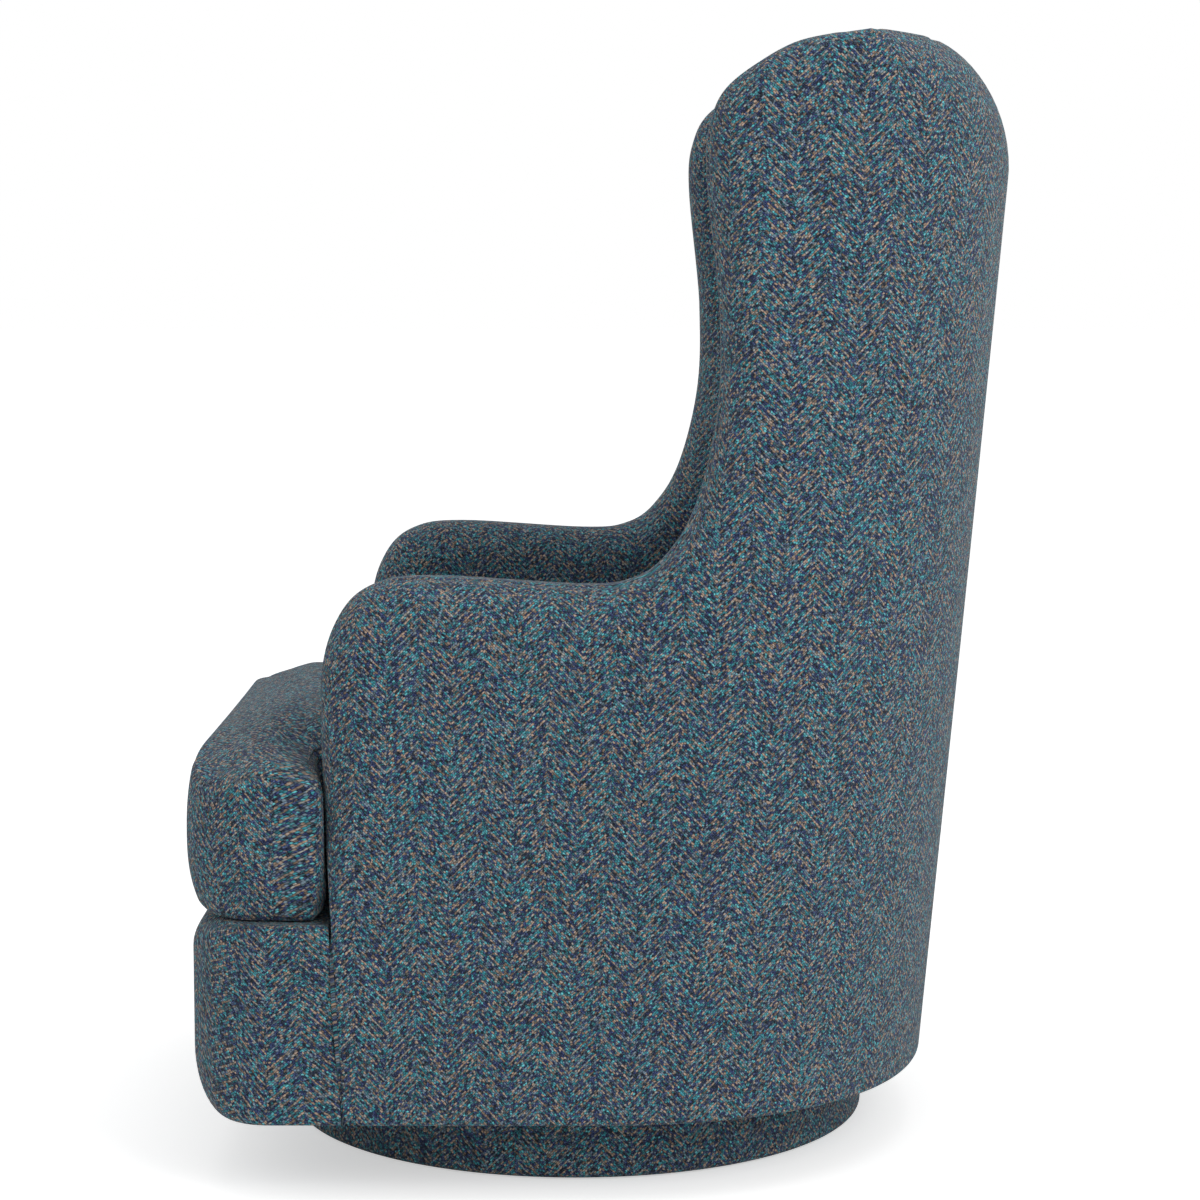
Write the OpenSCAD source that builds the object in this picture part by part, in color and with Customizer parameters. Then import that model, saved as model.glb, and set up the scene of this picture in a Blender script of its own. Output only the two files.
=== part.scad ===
// Fully upholstered high wing-back barrel armchair on a round swivel plinth.
// The chair faces -Y, +X is the sitter's left and +Z is up. The origin lies on the
// floor, under the middle of the overall width and depth.

/* [Overall] */
// Height from the floor to the crown at the middle of the back
chair_h = 1155; // [1120:1:1200]
// Width over the outside of the arms
chair_w = 762; // [730:1:800]
// Depth from the cushion's front to the rear of the back
chair_d = 833; // [820:1:870]
// Height of the body's lower edge above the floor
skirt_z = 76; // [73:1:80]
// Distance of the swivel axis in front of the origin
axis_front = 33; // [30:1:45]

/* [Barrel shell] */
// Backward lean of the rear line in degrees
back_lean = 4.8; // [4:0.1:7]
// Radius of the roll over the top of the back, at its middle
back_roll_r = 147; // [120:1:160]
// How much each side leans in towards the top
top_taper = 36; // [10:1:40]
// Height at which the sides start to lean in
taper_z = 500; // [450:10:600]
// Distance in front of the origin where the side turns into the back, at the lower edge
turn_front = 20; // [0:1:60]
// How far that place moves back per millimetre of height
turn_drift = 0.16; // [0.12:0.01:0.2]
// Roundness exponent of the plan at the lower edge (2 is an ellipse)
plan_low = 2.25; // [2:0.05:2.6]
// Roundness exponent of the plan at the top
plan_top = 3; // [2.6:0.05:3.4]
// Roundness exponent of the inside plan
plan_inside = 3; // [2.6:0.05:3.6]
// Thickness of an arm or wing
arm_t = 105; // [100:1:112]
// Thickness of the back at its middle
back_t = 230; // [215:1:240]
// Thickness of the outside cover with its padding
skin_t = 10; // [8:0.5:11]
// Foam on the inside of an arm or wing
arm_pad_t = 40; // [30:1:42]

/* [Arm and wing outline] */
// Height of the arm's crest
arm_h = 612; // [580:1:630]
// Dip of the arm's top line behind the crest
arm_dip = 8; // [0:1:14]
// Distance of the arm's front edge in front of the origin
arm_front = 281; // [280:1:290]
// How far the foot of that edge lies behind it
arm_foot_back = 20; // [10:1:30]
// Roll radius of the arm's edges
arm_roll_r = 45; // [40:1:48]
// Roll radius of the wing's front edge
wing_roll_r = 49; // [44:1:50]
// Roll radius of the wing's top edge, outside
dome_roll_r = 25; // [20:1:32]
// Distance of the wing's waist behind the origin
wing_waist_y = 113; // [98:1:116]
// Distance of the wing's ear behind the origin
wing_ear_y = 96; // [80:1:104]
// Height of the wing's waist, as a share of the way from the arm's crest to the ear
wing_waist_share = 0.52; // [0.46:0.01:0.56]
// Drop of the wing's ear below the crown of the back
wing_ear_drop = 139; // [125:1:151]
// Drop of the wing's crest below the crown of the back
crown_drop = 14; // [5:1:25]

/* [Seat cushion] */
// Height of the cushion's underside
cushion_z = 282; // [276:1:288]
// Height of its border from the underside to the top seam
border_h = 148; // [130:1:160]
// Crown of the top panel above its seam
cushion_crown = 46; // [35:1:60]
// Space between the cushion and the arms and back
cushion_space = 6; // [4:1:10]
// Set-back of the ears from the overall width, each side
ear_side_in = 9; // [6:1:16]
// Depth of an ear, front to back
ear_d = 129; // [112:1:130]
// Radius of the ears' front corners
ear_front_r = 55; // [40:1:60]
// Radius of the ears' rear corners
ear_rear_r = 40; // [30:1:44]
// How far the border bulges past its seams
border_bulge = 8; // [4:1:10]
// How far the front edge pulls in between its corners
draw_in = 4; // [0:0.5:6]
// Height of the foam core
core_h = 108; // [90:1:114]
// Padding between the core's edge and the cover's outside
core_wrap = 24; // [20:1:28]
// Half length of the zip in the rear border
zip_half = 150; // [100:1:170]

/* [Front rail and deck] */
// Distance of the front rail's face behind the cushion's front
rail_set_back = 6; // [4:1:14]
// Set-back of the front rail from the overall width, each side
rail_side_in = 1; // [1:0.5:6]
// Height of the rounded lower front edge of the rail
rail_low_h = 68; // [40:1:80]
// How far that edge is drawn in
rail_low_in = 32; // [20:1:40]
// Radius of the rail's upper front edge
rail_top_r = 40; // [16:1:44]
// Radius of the rail's upright front corners
rail_corner_r = 55; // [45:1:60]
// Padding in front of the rail's board
rail_pad = 22; // [18:1:26]
// Thickness of the deck pad under the cushion
deck_t = 30; // [26:1:31]

/* [Frame] */
// Thickness of the arm panels
arm_panel_t = 20; // [16:1:20]
// Set-back of the arm panels from the overall width, each side
arm_panel_in = 30; // [28:1:34]
// Thickness of the wing panels
wing_panel_t = 13; // [9:1:13]
// Inset of the panels from the upholstered outline
panel_inset = 34; // [33:1:38]
// Diameter of the lightening holes in the arm panels
window_d = 100; // [60:1:105]
// Thickness of the curved back ribs
rib_t = 25; // [18:1:28]
// Width of the curved back ribs
rib_w = 88; // [75:1:90]
// Thickness of the seat frame's boards
board_t = 22; // [18:1:25]
// Height of the seat frame's boards
board_h = 105; // [95:1:110]
// Width of the bearers over the swivel
bearer_w = 60; // [50:1:64]
// Leg length of the corner blocks
block_leg = 70; // [50:1:80]
// Width of the upright back slats
slat_w = 60; // [40:1:70]
// Thickness of the upright back slats
slat_t = 18; // [12:1:20]
// Spacing of the upright back slats
slat_pitch = 150; // [130:1:160]
// Number of seat springs
seat_springs_n = 5; // [4:1:6]
// Spacing of the seat springs
spring_pitch = 104; // [90:1:106]
// Half width of a spring's bends
spring_half_w = 26; // [20:1:30]
// Largest distance between two bends of a spring
bend_pitch = 28; // [26:1:32]
// Thickness of the spring wire
wire_t = 4; // [3:0.5:4.5]

/* [Swivel and plinth] */
// Radius of the covered plinth
plinth_r = 307; // [285:1:315]
// Height of the plinth above the floor
plinth_h = 68; // [60:1:69]
// Thickness of the plinth's cover
plinth_cover_t = 3; // [2:0.5:4]
// Radius of the plinth's lower edge
plinth_edge_r = 9; // [8:1:14]
// Thickness of the plinth's top board
plinth_board_t = 18; // [15:1:20]
// Thickness of the plinth's bent hoop
hoop_t = 18; // [16:1:20]
// Height of the glides under the hoop
glide_h = 4.5; // [4:0.5:6]
// Radius of the glides
glide_r = 4.5; // [3.5:0.5:4.5]
// Number of glides
glide_n = 6; // [4:1:8]
// Side of the square swivel plates
plate_w = 220; // [205:1:226]
// Thickness of the swivel plates
plate_t = 3; // [2.5:0.5:3.5]
// Height of the swivel from face to face
swivel_h = 20; // [19:0.5:22]
// Radius of the ball track
track_r = 80; // [74:1:84]
// Width of the two races
race_w = 18; // [14:1:20]
// Diameter of the bearing balls
ball_d = 9; // [8:0.5:9.5]
// Number of bearing balls
ball_n = 24; // [12:1:26]
// Radius of the centre pin
pin_r = 10; // [8:1:12]
// Radius of the plates' screws
screw_r = 3; // [2.5:0.25:3.5]

/* [Clearances] */
// Gap between bodies, and between loosely fitted pieces
gap = 0.3; // [0.2:0.05:0.4]
// Radial play of the balls and of the centre pin
play = 0.05; // [0.03:0.01:0.08]

/* [Hidden] */

fabric_colour = "#4c5a63";
dark_cloth = "#202224";
wood_colour = "#c8a878";
steel_colour = "#9a9c9e";
foam_colour = "#d8c890";
black_plastic = "#242424";

axis_y = -axis_front;
shoulder_z = chair_h - back_roll_r;
side_crest_z = chair_h - crown_drop;
cushion_front_y = -chair_d / 2;
rail_front_y = cushion_front_y + rail_set_back;
rail_top_z = cushion_z - gap;
wing_ear_z = chair_h - wing_ear_drop;
wing_waist_z = arm_h + wing_waist_share * (wing_ear_z - arm_h);
ear_half_w = chair_w / 2 - ear_side_in;
rail_half_w = chair_w / 2 - rail_side_in;
arm_panel_x = chair_w / 2 - arm_panel_in;
pad_foot_drop = 24;
pad_foot_z = cushion_z - pad_foot_drop;
turn_len = 560;
crest_foot_s = 0.5 * turn_len;
round_fn = 96;

// Smooth step from 0 to 1, and a straight mix of two values or points.
function ease(t) = let (c = min(1, max(0, t))) c * c * (3 - 2 * c);
function mix(a, b, t) = a + (b - a) * t;

// Plan of the barrel at height z: straight sides, then part of a superellipse whose
// centre lies at turn_y(z) on the middle plane.
function half_w(z) = chair_w / 2 - top_taper * ease((z - taper_z) / (chair_h - taper_z));
function rear_y(z) = chair_d / 2 - max(0, shoulder_z - z) * tan(back_lean);
function turn_y(z) = turn_drift * (z - skirt_z) - turn_front;
function plan_n(z) = mix(plan_low, plan_top, (z - skirt_z) / (chair_h - skirt_z));
function polar_r(phi, a, b, n) = pow(pow(abs(cos(phi)) / a, n) + pow(abs(sin(phi)) / b, n), -1 / n);

// A label s runs along the plan: below 0 it is the distance in front of turn_y, above 0
// it grows with the angle about that centre, to turn_len at the middle of the back.
function turn_phi(s) = 90 * s / turn_len;
function out_r(s, z) = s <= 0 ? half_w(z)
    : polar_r(turn_phi(s), half_w(z), rear_y(z) - turn_y(z), plan_n(z));
function in_r(s, z) = s <= 0 ? half_w(z) - arm_t
    : polar_r(turn_phi(s), half_w(z) - arm_t, rear_y(z) - back_t - turn_y(z), plan_inside);
function place(s, z, r) = s <= 0 ? [r, turn_y(z) + s, z]
    : [r * cos(turn_phi(s)), turn_y(z) + r * sin(turn_phi(s)), z];
function side_x(y, z) = y <= turn_y(z) ? half_w(z)
    : half_w(z) * pow(1 - pow((y - turn_y(z)) / (rear_y(z) - turn_y(z)), plan_n(z)), 1 / plan_n(z));
function label_of(y, z) = y <= turn_y(z) ? y - turn_y(z)
    : turn_len / 90 * atan2(y - turn_y(z), side_x(y, z));
function rear_at(x, z) = turn_y(z)
    + (rear_y(z) - turn_y(z)) * pow(1 - pow(abs(x) / half_w(z), plan_n(z)), 1 / plan_n(z));

// Upholstered outline of arm and wing seen from the side: y, z, outer roll, inner roll.
butt_r = 14;
ear_r = 40;
edge_stations = [
    [arm_foot_back - arm_front, skirt_z, butt_r, butt_r],
    [arm_foot_back / 2 - arm_front, pad_foot_z, butt_r, butt_r],
    [2 - arm_front, pad_foot_z + 130, arm_roll_r, arm_roll_r],
    [-arm_front, arm_h - 101, arm_roll_r, arm_roll_r],
    [18 - arm_front, arm_h - 38, arm_roll_r, arm_roll_r],
    [52 - arm_front, arm_h - 8, arm_roll_r, arm_roll_r],
    [110 - arm_front, arm_h, arm_roll_r, arm_roll_r],
    [252 - arm_front, arm_h - arm_dip, arm_roll_r, arm_roll_r],
    [wing_waist_y - 91, arm_h - 3, arm_roll_r, arm_roll_r],
    [wing_waist_y - 53, arm_h + 18, arm_roll_r, arm_roll_r],
    [wing_waist_y - 20, arm_h + 74, wing_roll_r, wing_roll_r],
    [wing_waist_y, wing_waist_z - 48, wing_roll_r, wing_roll_r],
    [wing_waist_y - 1, wing_waist_z + 49, wing_roll_r, wing_roll_r],
    [wing_ear_y, wing_ear_z - 14, wing_roll_r, arm_roll_r],
    [wing_ear_y + 4, wing_ear_z + 40, ear_r, ear_r],
    [wing_ear_y + 26, wing_ear_z + 76, mix(ear_r, dome_roll_r, 0.5), ear_r],
    [wing_ear_y + 87, side_crest_z - 14, dome_roll_r, ear_r],
    [wing_ear_y + 160, side_crest_z, dome_roll_r, ear_r]];
station_cuts = 2;
back_cuts = 7;
inner_back_roll_r = 60;
back_seam_depth = 100;
spring_room = 13.5;
back_pad_t = back_t - skin_t - rib_w - spring_room - 2 * wire_t;
seam_share = 0.85;

// Catmull-Rom curve through the stations, at station i plus t.
function station(i) = edge_stations[min(len(edge_stations) - 1, max(0, i))];
function along(i, t) = let (a = station(i - 1), b = station(i), c = station(i + 1), d = station(i + 2))
    0.5 * (2 * b + (c - a) * t + (2 * a - 5 * b + 4 * c - d) * t * t + (3 * b - a - 3 * c + d) * t * t * t);
side_edge = [for (i = [0:len(edge_stations) - 2], k = [0:station_cuts - 1]) along(i, k / station_cuts)];
side_n = len(side_edge);
crest = edge_stations[len(edge_stations) - 1];
crest_s = label_of(crest[0], crest[1]);

// The half edge as label, height, outer roll, inner roll, seam depth and pad thickness. Over
// the back its height is an arch across the width.
edge = concat(
    [for (p = side_edge) [label_of(p[0], p[1]), p[1], p[2], p[3], seam_share * p[2], arm_pad_t]],
    [for (k = [0:back_cuts]) let (t = k / back_cuts, e = ease(t), w = 1 - pow(1 - t, 2.5))
        let (s = mix(crest_s, turn_len, t), arch = 1 - pow(cos(turn_phi(s)) / cos(turn_phi(crest_s)), 2))
        [s, side_crest_z + crown_drop * arch, mix(dome_roll_r, back_roll_r, w),
         mix(ear_r, inner_back_roll_r, e), mix(seam_share * dome_roll_r, back_seam_depth, w),
         mix(arm_pad_t, back_pad_t, e)]]);
edge_n = len(edge);

// Direction into the panel, square to the edge, and a point m inside the edge.
function edge_dir(i) = i == 0 ? [1, 0] : i == edge_n - 1 ? [0, -1]
    : let (d = edge[i + 1] - edge[i - 1], l = norm([d[0], d[1]])) [d[1] / l, -d[0] / l];
function inset(i, m) = [edge[i][0], edge[i][1]] + m * edge_dir(i);

// Foot of each column, and a point t down it: the columns run from the outline to the
// lower edge and bend rearwards first, so that they stay behind the wing's waist.
foot_fan = 0.75;
row_bias = 1.5;
function down(a, b, t) = let (u = pow(t, row_bias))
    [mix(a[0], b[0], 1 - pow(1 - u, 3)), mix(a[1], b[1], u)];
function foot(i, z) = i <= side_n
    ? [mix(edge[0][0] + butt_r, crest_foot_s, pow(i / side_n, foot_fan)), z]
    : [mix(crest_foot_s, turn_len, (i - side_n) / back_cuts), z];
pad_first = station_cuts;
function pad_foot(i) = i > side_n ? foot(i, pad_foot_z)
    : let (t = (i - pad_first) / (side_n - pad_first))
    [mix(inset(pad_first, butt_r)[0], crest_foot_s, pow(t, foot_fan)), pad_foot_z];

// Points on the outer roll at angle q (90 is flush with the outside), k deep in it, and
// on the inner roll at angle q (90 is flush with the inside).
function roll_out(i, q, k) = let (r = edge[i][2], p = inset(i, r - (r - k) * cos(q)))
    place(p[0], p[1], out_r(p[0], p[1]) - r + (r - k) * sin(q));
function roll_in(i, q) = let (r = edge[i][3], p = inset(i, r - r * cos(q)))
    place(p[0], p[1], in_r(p[0], p[1]) + r - r * sin(q));
function seam_angle(i) = asin(1 - edge[i][4] / edge[i][2]);
function outside_at(p, deep) = place(p[0], p[1], out_r(p[0], p[1]) - deep);
function inside_at(p, deep) = place(p[0], p[1], in_r(p[0], p[1]) + deep);

// Mirror a half grid of columns about the middle plane, so that it runs side to side.
function mirrored(cols) = concat(
    [for (c = cols) [for (p = c) [-p[0], p[1], p[2]]]],
    [for (i = [len(cols) - 2:-1:0]) cols[i]]);

// End cap of a loop of m points, whose first f + 1 points are its one face and the others
// its other face, as a strip of triangles between the two.
function cap(m, f) = let (g = m - 2 - f) concat(
    [for (j = [0:f - 1]) [j, j + 1, m - 1 - floor((j + 0.5) * g / f)]],
    [for (k = [0:g - 1]) [ceil((k + 1) * f / g - 0.5), m - 2 - k, m - 1 - k]]);

// Closed skin over a grid whose columns are closed loops of equal length.
module loop_skin(cols, f) {
    n = len(cols);
    m = len(cols[0]);
    sides = [for (i = [0:n - 2], j = [0:m - 1], k = [0:1])
        let (a = i * m + j, b = i * m + (j + 1) % m, c = a + m, d = b + m)
        k == 0 ? [a, c, b] : [b, c, d]];
    far = (n - 1) * m;
    last = [for (t = cap(m, f)) [far + t[2], far + t[1], far + t[0]]];
    polyhedron([for (c = cols) each c], concat(cap(m, f), sides, last), convexity = 10);
}

// One loop of the outside cover: up its inside face, round the seam and down the outside.
outer_steps = 4;
roll_steps = 3;
cover_rows = 3;
function cover_loop(i) = let (q = seam_angle(i), a = inset(i, edge[i][2]), b = foot(i, skirt_z)) concat(
    [for (k = [0:roll_steps]) roll_out(i, mix(q, 90, k / roll_steps), skin_t)],
    [for (k = [1:cover_rows]) outside_at(down(a, b, k / cover_rows), skin_t)],
    [for (k = [cover_rows:-1:1]) outside_at(down(a, b, k / cover_rows), 0)],
    [for (k = [outer_steps:-1:0]) roll_out(i, mix(q, 90, k / outer_steps), 0)]);

module outside_cover() {
    color(fabric_colour) loop_skin(mirrored([for (i = [0:edge_n - 1]) cover_loop(i)]),
        roll_steps + cover_rows);
}

// One loop of an inside pad: over the crest from the seam, down the inside, up its back.
pad_rows = 4;
pad_turn = 1 + roll_steps + pad_rows;
seam_space = 1.3;
crest_pad_t = 30;
least_roll = 2;
function pad_loop(i) = let (q = seam_angle(i) - seam_space / edge[i][2] * 180 / PI,
    deep = min(crest_pad_t, edge[i][2] - least_roll), a = inset(i, edge[i][3]),
    c = inset(i, deep + 1), b = pad_foot(i), pad = edge[i][5]) concat(
    [roll_out(i, q, 0)],
    [for (k = [0:roll_steps]) roll_in(i, 90 * k / roll_steps)],
    [for (k = [1:pad_rows]) inside_at(down(a, b, k / pad_rows), 0)],
    [for (k = [pad_rows:-1:0]) inside_at(down(c, b, k / pad_rows), pad)],
    [roll_out(i, q, deep)]);

module right_arm_pad() {
    color(fabric_colour)
        loop_skin([for (i = [pad_first:side_n]) [for (p = pad_loop(i)) [-p[0], p[1], p[2]]]], pad_turn);
}

module inside_arm_left() {
    mirror([1, 0, 0]) right_arm_pad();
}

module inside_arm_right() {
    right_arm_pad();
}

module inside_back() {
    color(fabric_colour) loop_skin(mirrored([for (i = [side_n:edge_n - 1]) pad_loop(i)]), pad_turn);
}

// Arc points about a centre, from one angle to another.
function arc(cx, cy, r, from, to, steps) = [for (k = [0:steps])
    let (a = mix(from, to, k / steps)) [cx + r * cos(a), cy + r * sin(a)]];

// Plinth: a covered bent hoop with a top board, standing on glides.
hoop_r = plinth_r - plinth_cover_t;
glide_ring_r = (hoop_r - hoop_t + plinth_r - plinth_edge_r) / 2;
cover_foot = glide_h - plinth_cover_t;
board_low = plinth_h - plinth_board_t;

module at_axis() {
    translate([0, axis_y, 0]) children();
}

module round_glides(r, low, high) {
    for (k = [0:glide_n - 1]) rotate(360 * k / glide_n - 90) translate([glide_ring_r, 0, low])
        cylinder(r = r, h = high - low, $fn = 32);
}

module plinth_cover() {
    edge_pts = concat([[plinth_r, plinth_h]],
        arc(plinth_r - plinth_edge_r, cover_foot + plinth_edge_r, plinth_edge_r, 0, -90, 6),
        [[hoop_r - hoop_t, cover_foot], [hoop_r - hoop_t, glide_h]],
        arc(plinth_r - plinth_edge_r, cover_foot + plinth_edge_r, plinth_edge_r - plinth_cover_t, -90, 0, 6),
        [[hoop_r, plinth_h]]);
    color(fabric_colour) at_axis() difference() {
        rotate_extrude($fn = round_fn) polygon(edge_pts);
        round_glides(glide_r + gap, cover_foot - 1, glide_h + 1);
    }
}

pin_depth = 14;
glide_pin_r = 2;
module plinth_hoop() {
    hoop_pts = concat([[hoop_r - hoop_t, glide_h]],
        arc(plinth_r - plinth_edge_r, cover_foot + plinth_edge_r, plinth_edge_r - plinth_cover_t, -90, 0, 6),
        [[hoop_r, board_low], [hoop_r - hoop_t, board_low]]);
    color(wood_colour) at_axis() difference() {
        rotate_extrude($fn = round_fn) polygon(hoop_pts);
        round_glides(glide_pin_r, glide_h - 1, glide_h + pin_depth);
    }
}

module base_glides() {
    color(black_plastic) at_axis() {
        round_glides(glide_r, 0, glide_h);
        round_glides(glide_pin_r, glide_h - 1, glide_h + pin_depth);
    }
}

// Swivel: two square plates with ball races between them, held by a headed centre pin.
ball_z = plinth_h + swivel_h / 2;
swivel_top = plinth_h + swivel_h;
race_gap = 1;
screw_in = 18;
low_screw = plate_w / 2 - screw_in;
head_r = 2 * screw_r;
head_h = screw_r;
screw_rest = 2;
low_screw_len = plinth_board_t - screw_rest;
high_screw_in = 25;
high_screw_y = plate_w / 2 - high_screw_in;

module four_holes(x, y, r, low, high) {
    for (sx = [-1, 1], sy = [-1, 1]) translate([sx * x, sy * y, low])
        cylinder(r = r, h = high - low, $fn = 32);
}

module race(low, high) {
    difference() {
        translate([0, 0, low]) cylinder(r = track_r + race_w / 2, h = high - low, $fn = round_fn);
        translate([0, 0, low - 1]) cylinder(r = track_r - race_w / 2, h = high - low + 2, $fn = round_fn);
        translate([0, 0, ball_z]) rotate_extrude($fn = round_fn) translate([track_r, 0])
            circle(r = ball_d / 2 + play, $fn = 32);
    }
}

module plinth_top_board() {
    color(wood_colour) at_axis() difference() {
        translate([0, 0, board_low]) cylinder(r = hoop_r, h = plinth_board_t, $fn = round_fn);
        four_holes(low_screw, low_screw, screw_r, plinth_h - low_screw_len, plinth_h + 1);
    }
}

module swivel_lower_plate() {
    color(steel_colour) at_axis() {
        difference() {
            translate([-plate_w / 2, -plate_w / 2, plinth_h]) cube([plate_w, plate_w, plate_t]);
            four_holes(low_screw, low_screw, screw_r, plinth_h - 1, plinth_h + plate_t + 1);
            translate([0, 0, plinth_h - 1]) cylinder(r = pin_r, h = plate_t + 2, $fn = round_fn);
        }
        race(plinth_h + plate_t, ball_z - race_gap);
    }
}

module bearing_balls() {
    color(steel_colour) at_axis() for (k = [0:ball_n - 1]) rotate(360 * k / ball_n)
        translate([track_r, 0, ball_z]) sphere(d = ball_d, $fn = 24);
}

cage_t = 1.4;
cage_w = 14;
module ball_cage() {
    color(black_plastic) at_axis() difference() {
        translate([0, 0, ball_z - cage_t / 2]) cylinder(r = track_r + cage_w / 2, h = cage_t, $fn = round_fn);
        translate([0, 0, ball_z - cage_t]) cylinder(r = track_r - cage_w / 2, h = 2 * cage_t, $fn = round_fn);
        for (k = [0:ball_n - 1]) rotate(360 * k / ball_n) translate([track_r, 0, ball_z - cage_t])
            cylinder(r = ball_d / 2 + 2 * play, h = 2 * cage_t, $fn = 32);
    }
}

pin_rim = 6;
pin_head_r = pin_r + pin_rim;
pin_head_h = 4;
module centre_pin() {
    color(steel_colour) at_axis() {
        translate([0, 0, plinth_h]) cylinder(r = pin_r, h = swivel_h + gap + 1, $fn = round_fn);
        translate([0, 0, swivel_top + gap]) cylinder(r = pin_head_r, h = pin_head_h, $fn = round_fn);
    }
}

module lower_plate_screws() {
    color(steel_colour) at_axis() {
        four_holes(low_screw, low_screw, screw_r, plinth_h - low_screw_len, plinth_h + plate_t + 1);
        four_holes(low_screw, low_screw, head_r, plinth_h + plate_t, plinth_h + plate_t + head_h);
    }
}

module swivel_upper_plate() {
    color(steel_colour) at_axis() {
        difference() {
            translate([-plate_w / 2, -plate_w / 2, swivel_top - plate_t]) cube([plate_w, plate_w, plate_t]);
            four_holes(low_screw, high_screw_y, screw_r, swivel_top - plate_t - 1, swivel_top + 1);
            translate([0, 0, swivel_top - plate_t - 1])
                cylinder(r = pin_r + play, h = plate_t + 2, $fn = round_fn);
        }
        race(ball_z + race_gap, swivel_top - plate_t);
    }
}

high_screw_len = 24;
module upper_plate_screws() {
    color(steel_colour) at_axis() {
        four_holes(low_screw, high_screw_y, screw_r, swivel_top - plate_t - 1, swivel_top + high_screw_len);
        four_holes(low_screw, high_screw_y, head_r, swivel_top - plate_t - head_h, swivel_top - plate_t);
    }
}

// Seat frame: boards on edge, two bearers over the swivel and corner blocks.
foot_space = 2.6;
frame_foot_z = skirt_z + foot_space;
spring_drop = 14.7;
spring_z = pad_foot_z - spring_drop;
front_board_up = 20;
board_top = spring_z - gap;
board_low_z = board_top - board_h;
rail_x = arm_panel_x - arm_panel_t;
front_board_y = rail_front_y + rail_pad;
panel_rear_y = 90;
rear_board_y = panel_rear_y - board_t;

module cross_bearers() {
    color(wood_colour) at_axis() difference() {
        for (sy = [-1, 1]) translate([-rail_x, sy * high_screw_y - bearer_w / 2, swivel_top])
            cube([2 * rail_x, bearer_w, board_low_z - swivel_top]);
        four_holes(low_screw, high_screw_y, screw_r, swivel_top - 1, swivel_top + high_screw_len);
    }
}

module seat_side_rail(x) {
    color(wood_colour) translate([x, front_board_y + board_t, board_low_z])
        cube([board_t, panel_rear_y - front_board_y - board_t, board_h]);
}

module seat_side_rail_left() {
    seat_side_rail(rail_x - board_t);
}

module seat_side_rail_right() {
    seat_side_rail(-rail_x);
}

module front_rail_board() {
    color(wood_colour) translate([-rail_x, front_board_y, frame_foot_z + front_board_up])
        cube([2 * rail_x, board_t, board_top - frame_foot_z - front_board_up]);
}

module rear_seat_rail() {
    color(wood_colour) translate([board_t - rail_x, rear_board_y, board_low_z])
        cube([2 * (rail_x - board_t), board_t, board_h]);
}

block_inset = 20;
module corner_blocks() {
    color(wood_colour) for (sx = [-1, 1], sy = [-1, 1])
        translate([sx * (rail_x - board_t), sy > 0 ? rear_board_y : front_board_y + board_t,
            board_low_z + block_inset]) linear_extrude(board_h - 2 * block_inset)
                polygon([[0, 0], [-sx * block_leg, 0], [0, -sy * block_leg]]);
}

// Side panels, cut to the upholstered outline less the inset.
function panel_point(i) = let (p = inset(i, panel_inset)) [turn_y(p[1]) + p[0], p[1]];
wing_root_i = station_cuts * 9;
arm_panel_outline = concat([for (i = [0:wing_root_i]) panel_point(i)],
    [[panel_rear_y, panel_point(wing_root_i)[1]]],
    [[panel_rear_y, frame_foot_z], [panel_point(0)[0], frame_foot_z]]);
wing_lap_z = 430;
wing_panel_front_y = 20;
wing_panel_rear_y = 195;
wing_side_n = side_n - 2;
function wing_point(i) = let (p = inset(i, panel_inset), q = place(p[0], p[1], out_r(p[0], p[1])))
    [q[1], q[2]];
wing_panel_drop = 60;
wing_panel_outline = concat([[wing_panel_front_y, wing_lap_z], [wing_panel_front_y, arm_h - wing_panel_drop]],
    [for (i = [wing_root_i:wing_side_n]) wing_point(i)], [[wing_panel_rear_y, wing_lap_z]]);

window_lead = 180;
window_drop = 190;
window_step = 1.25;
window_mid_y = panel_rear_y - window_lead;
window_z = arm_h - window_drop;

// Turn a side outline (y, z) into a panel from x = low to x = high.
module side_panel(low, high) {
    translate([low, 0, 0]) rotate([90, 0, 90]) linear_extrude(high - low) children();
}

module arm_panel(low, high) {
    color(wood_colour) side_panel(low, high) difference() {
        polygon([for (p = arm_panel_outline) [p[0], max(p[1], frame_foot_z)]]);
        for (k = [-1:1]) translate([window_mid_y + k * window_step * window_d, window_z])
            circle(d = window_d, $fn = round_fn);
    }
}

module arm_panel_left() {
    arm_panel(rail_x, arm_panel_x);
}

module arm_panel_right() {
    arm_panel(-arm_panel_x, -rail_x);
}

module wing_panel(low, high) {
    color(wood_colour) side_panel(low, high) intersection() {
        polygon(wing_panel_outline);
        translate([0, wing_lap_z]) square([wing_panel_rear_y, chair_h]);
    }
}

module wing_panel_left() {
    wing_panel(rail_x - wing_panel_t, rail_x);
}

module wing_panel_right() {
    wing_panel(-rail_x, wing_panel_t - rail_x);
}

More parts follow.
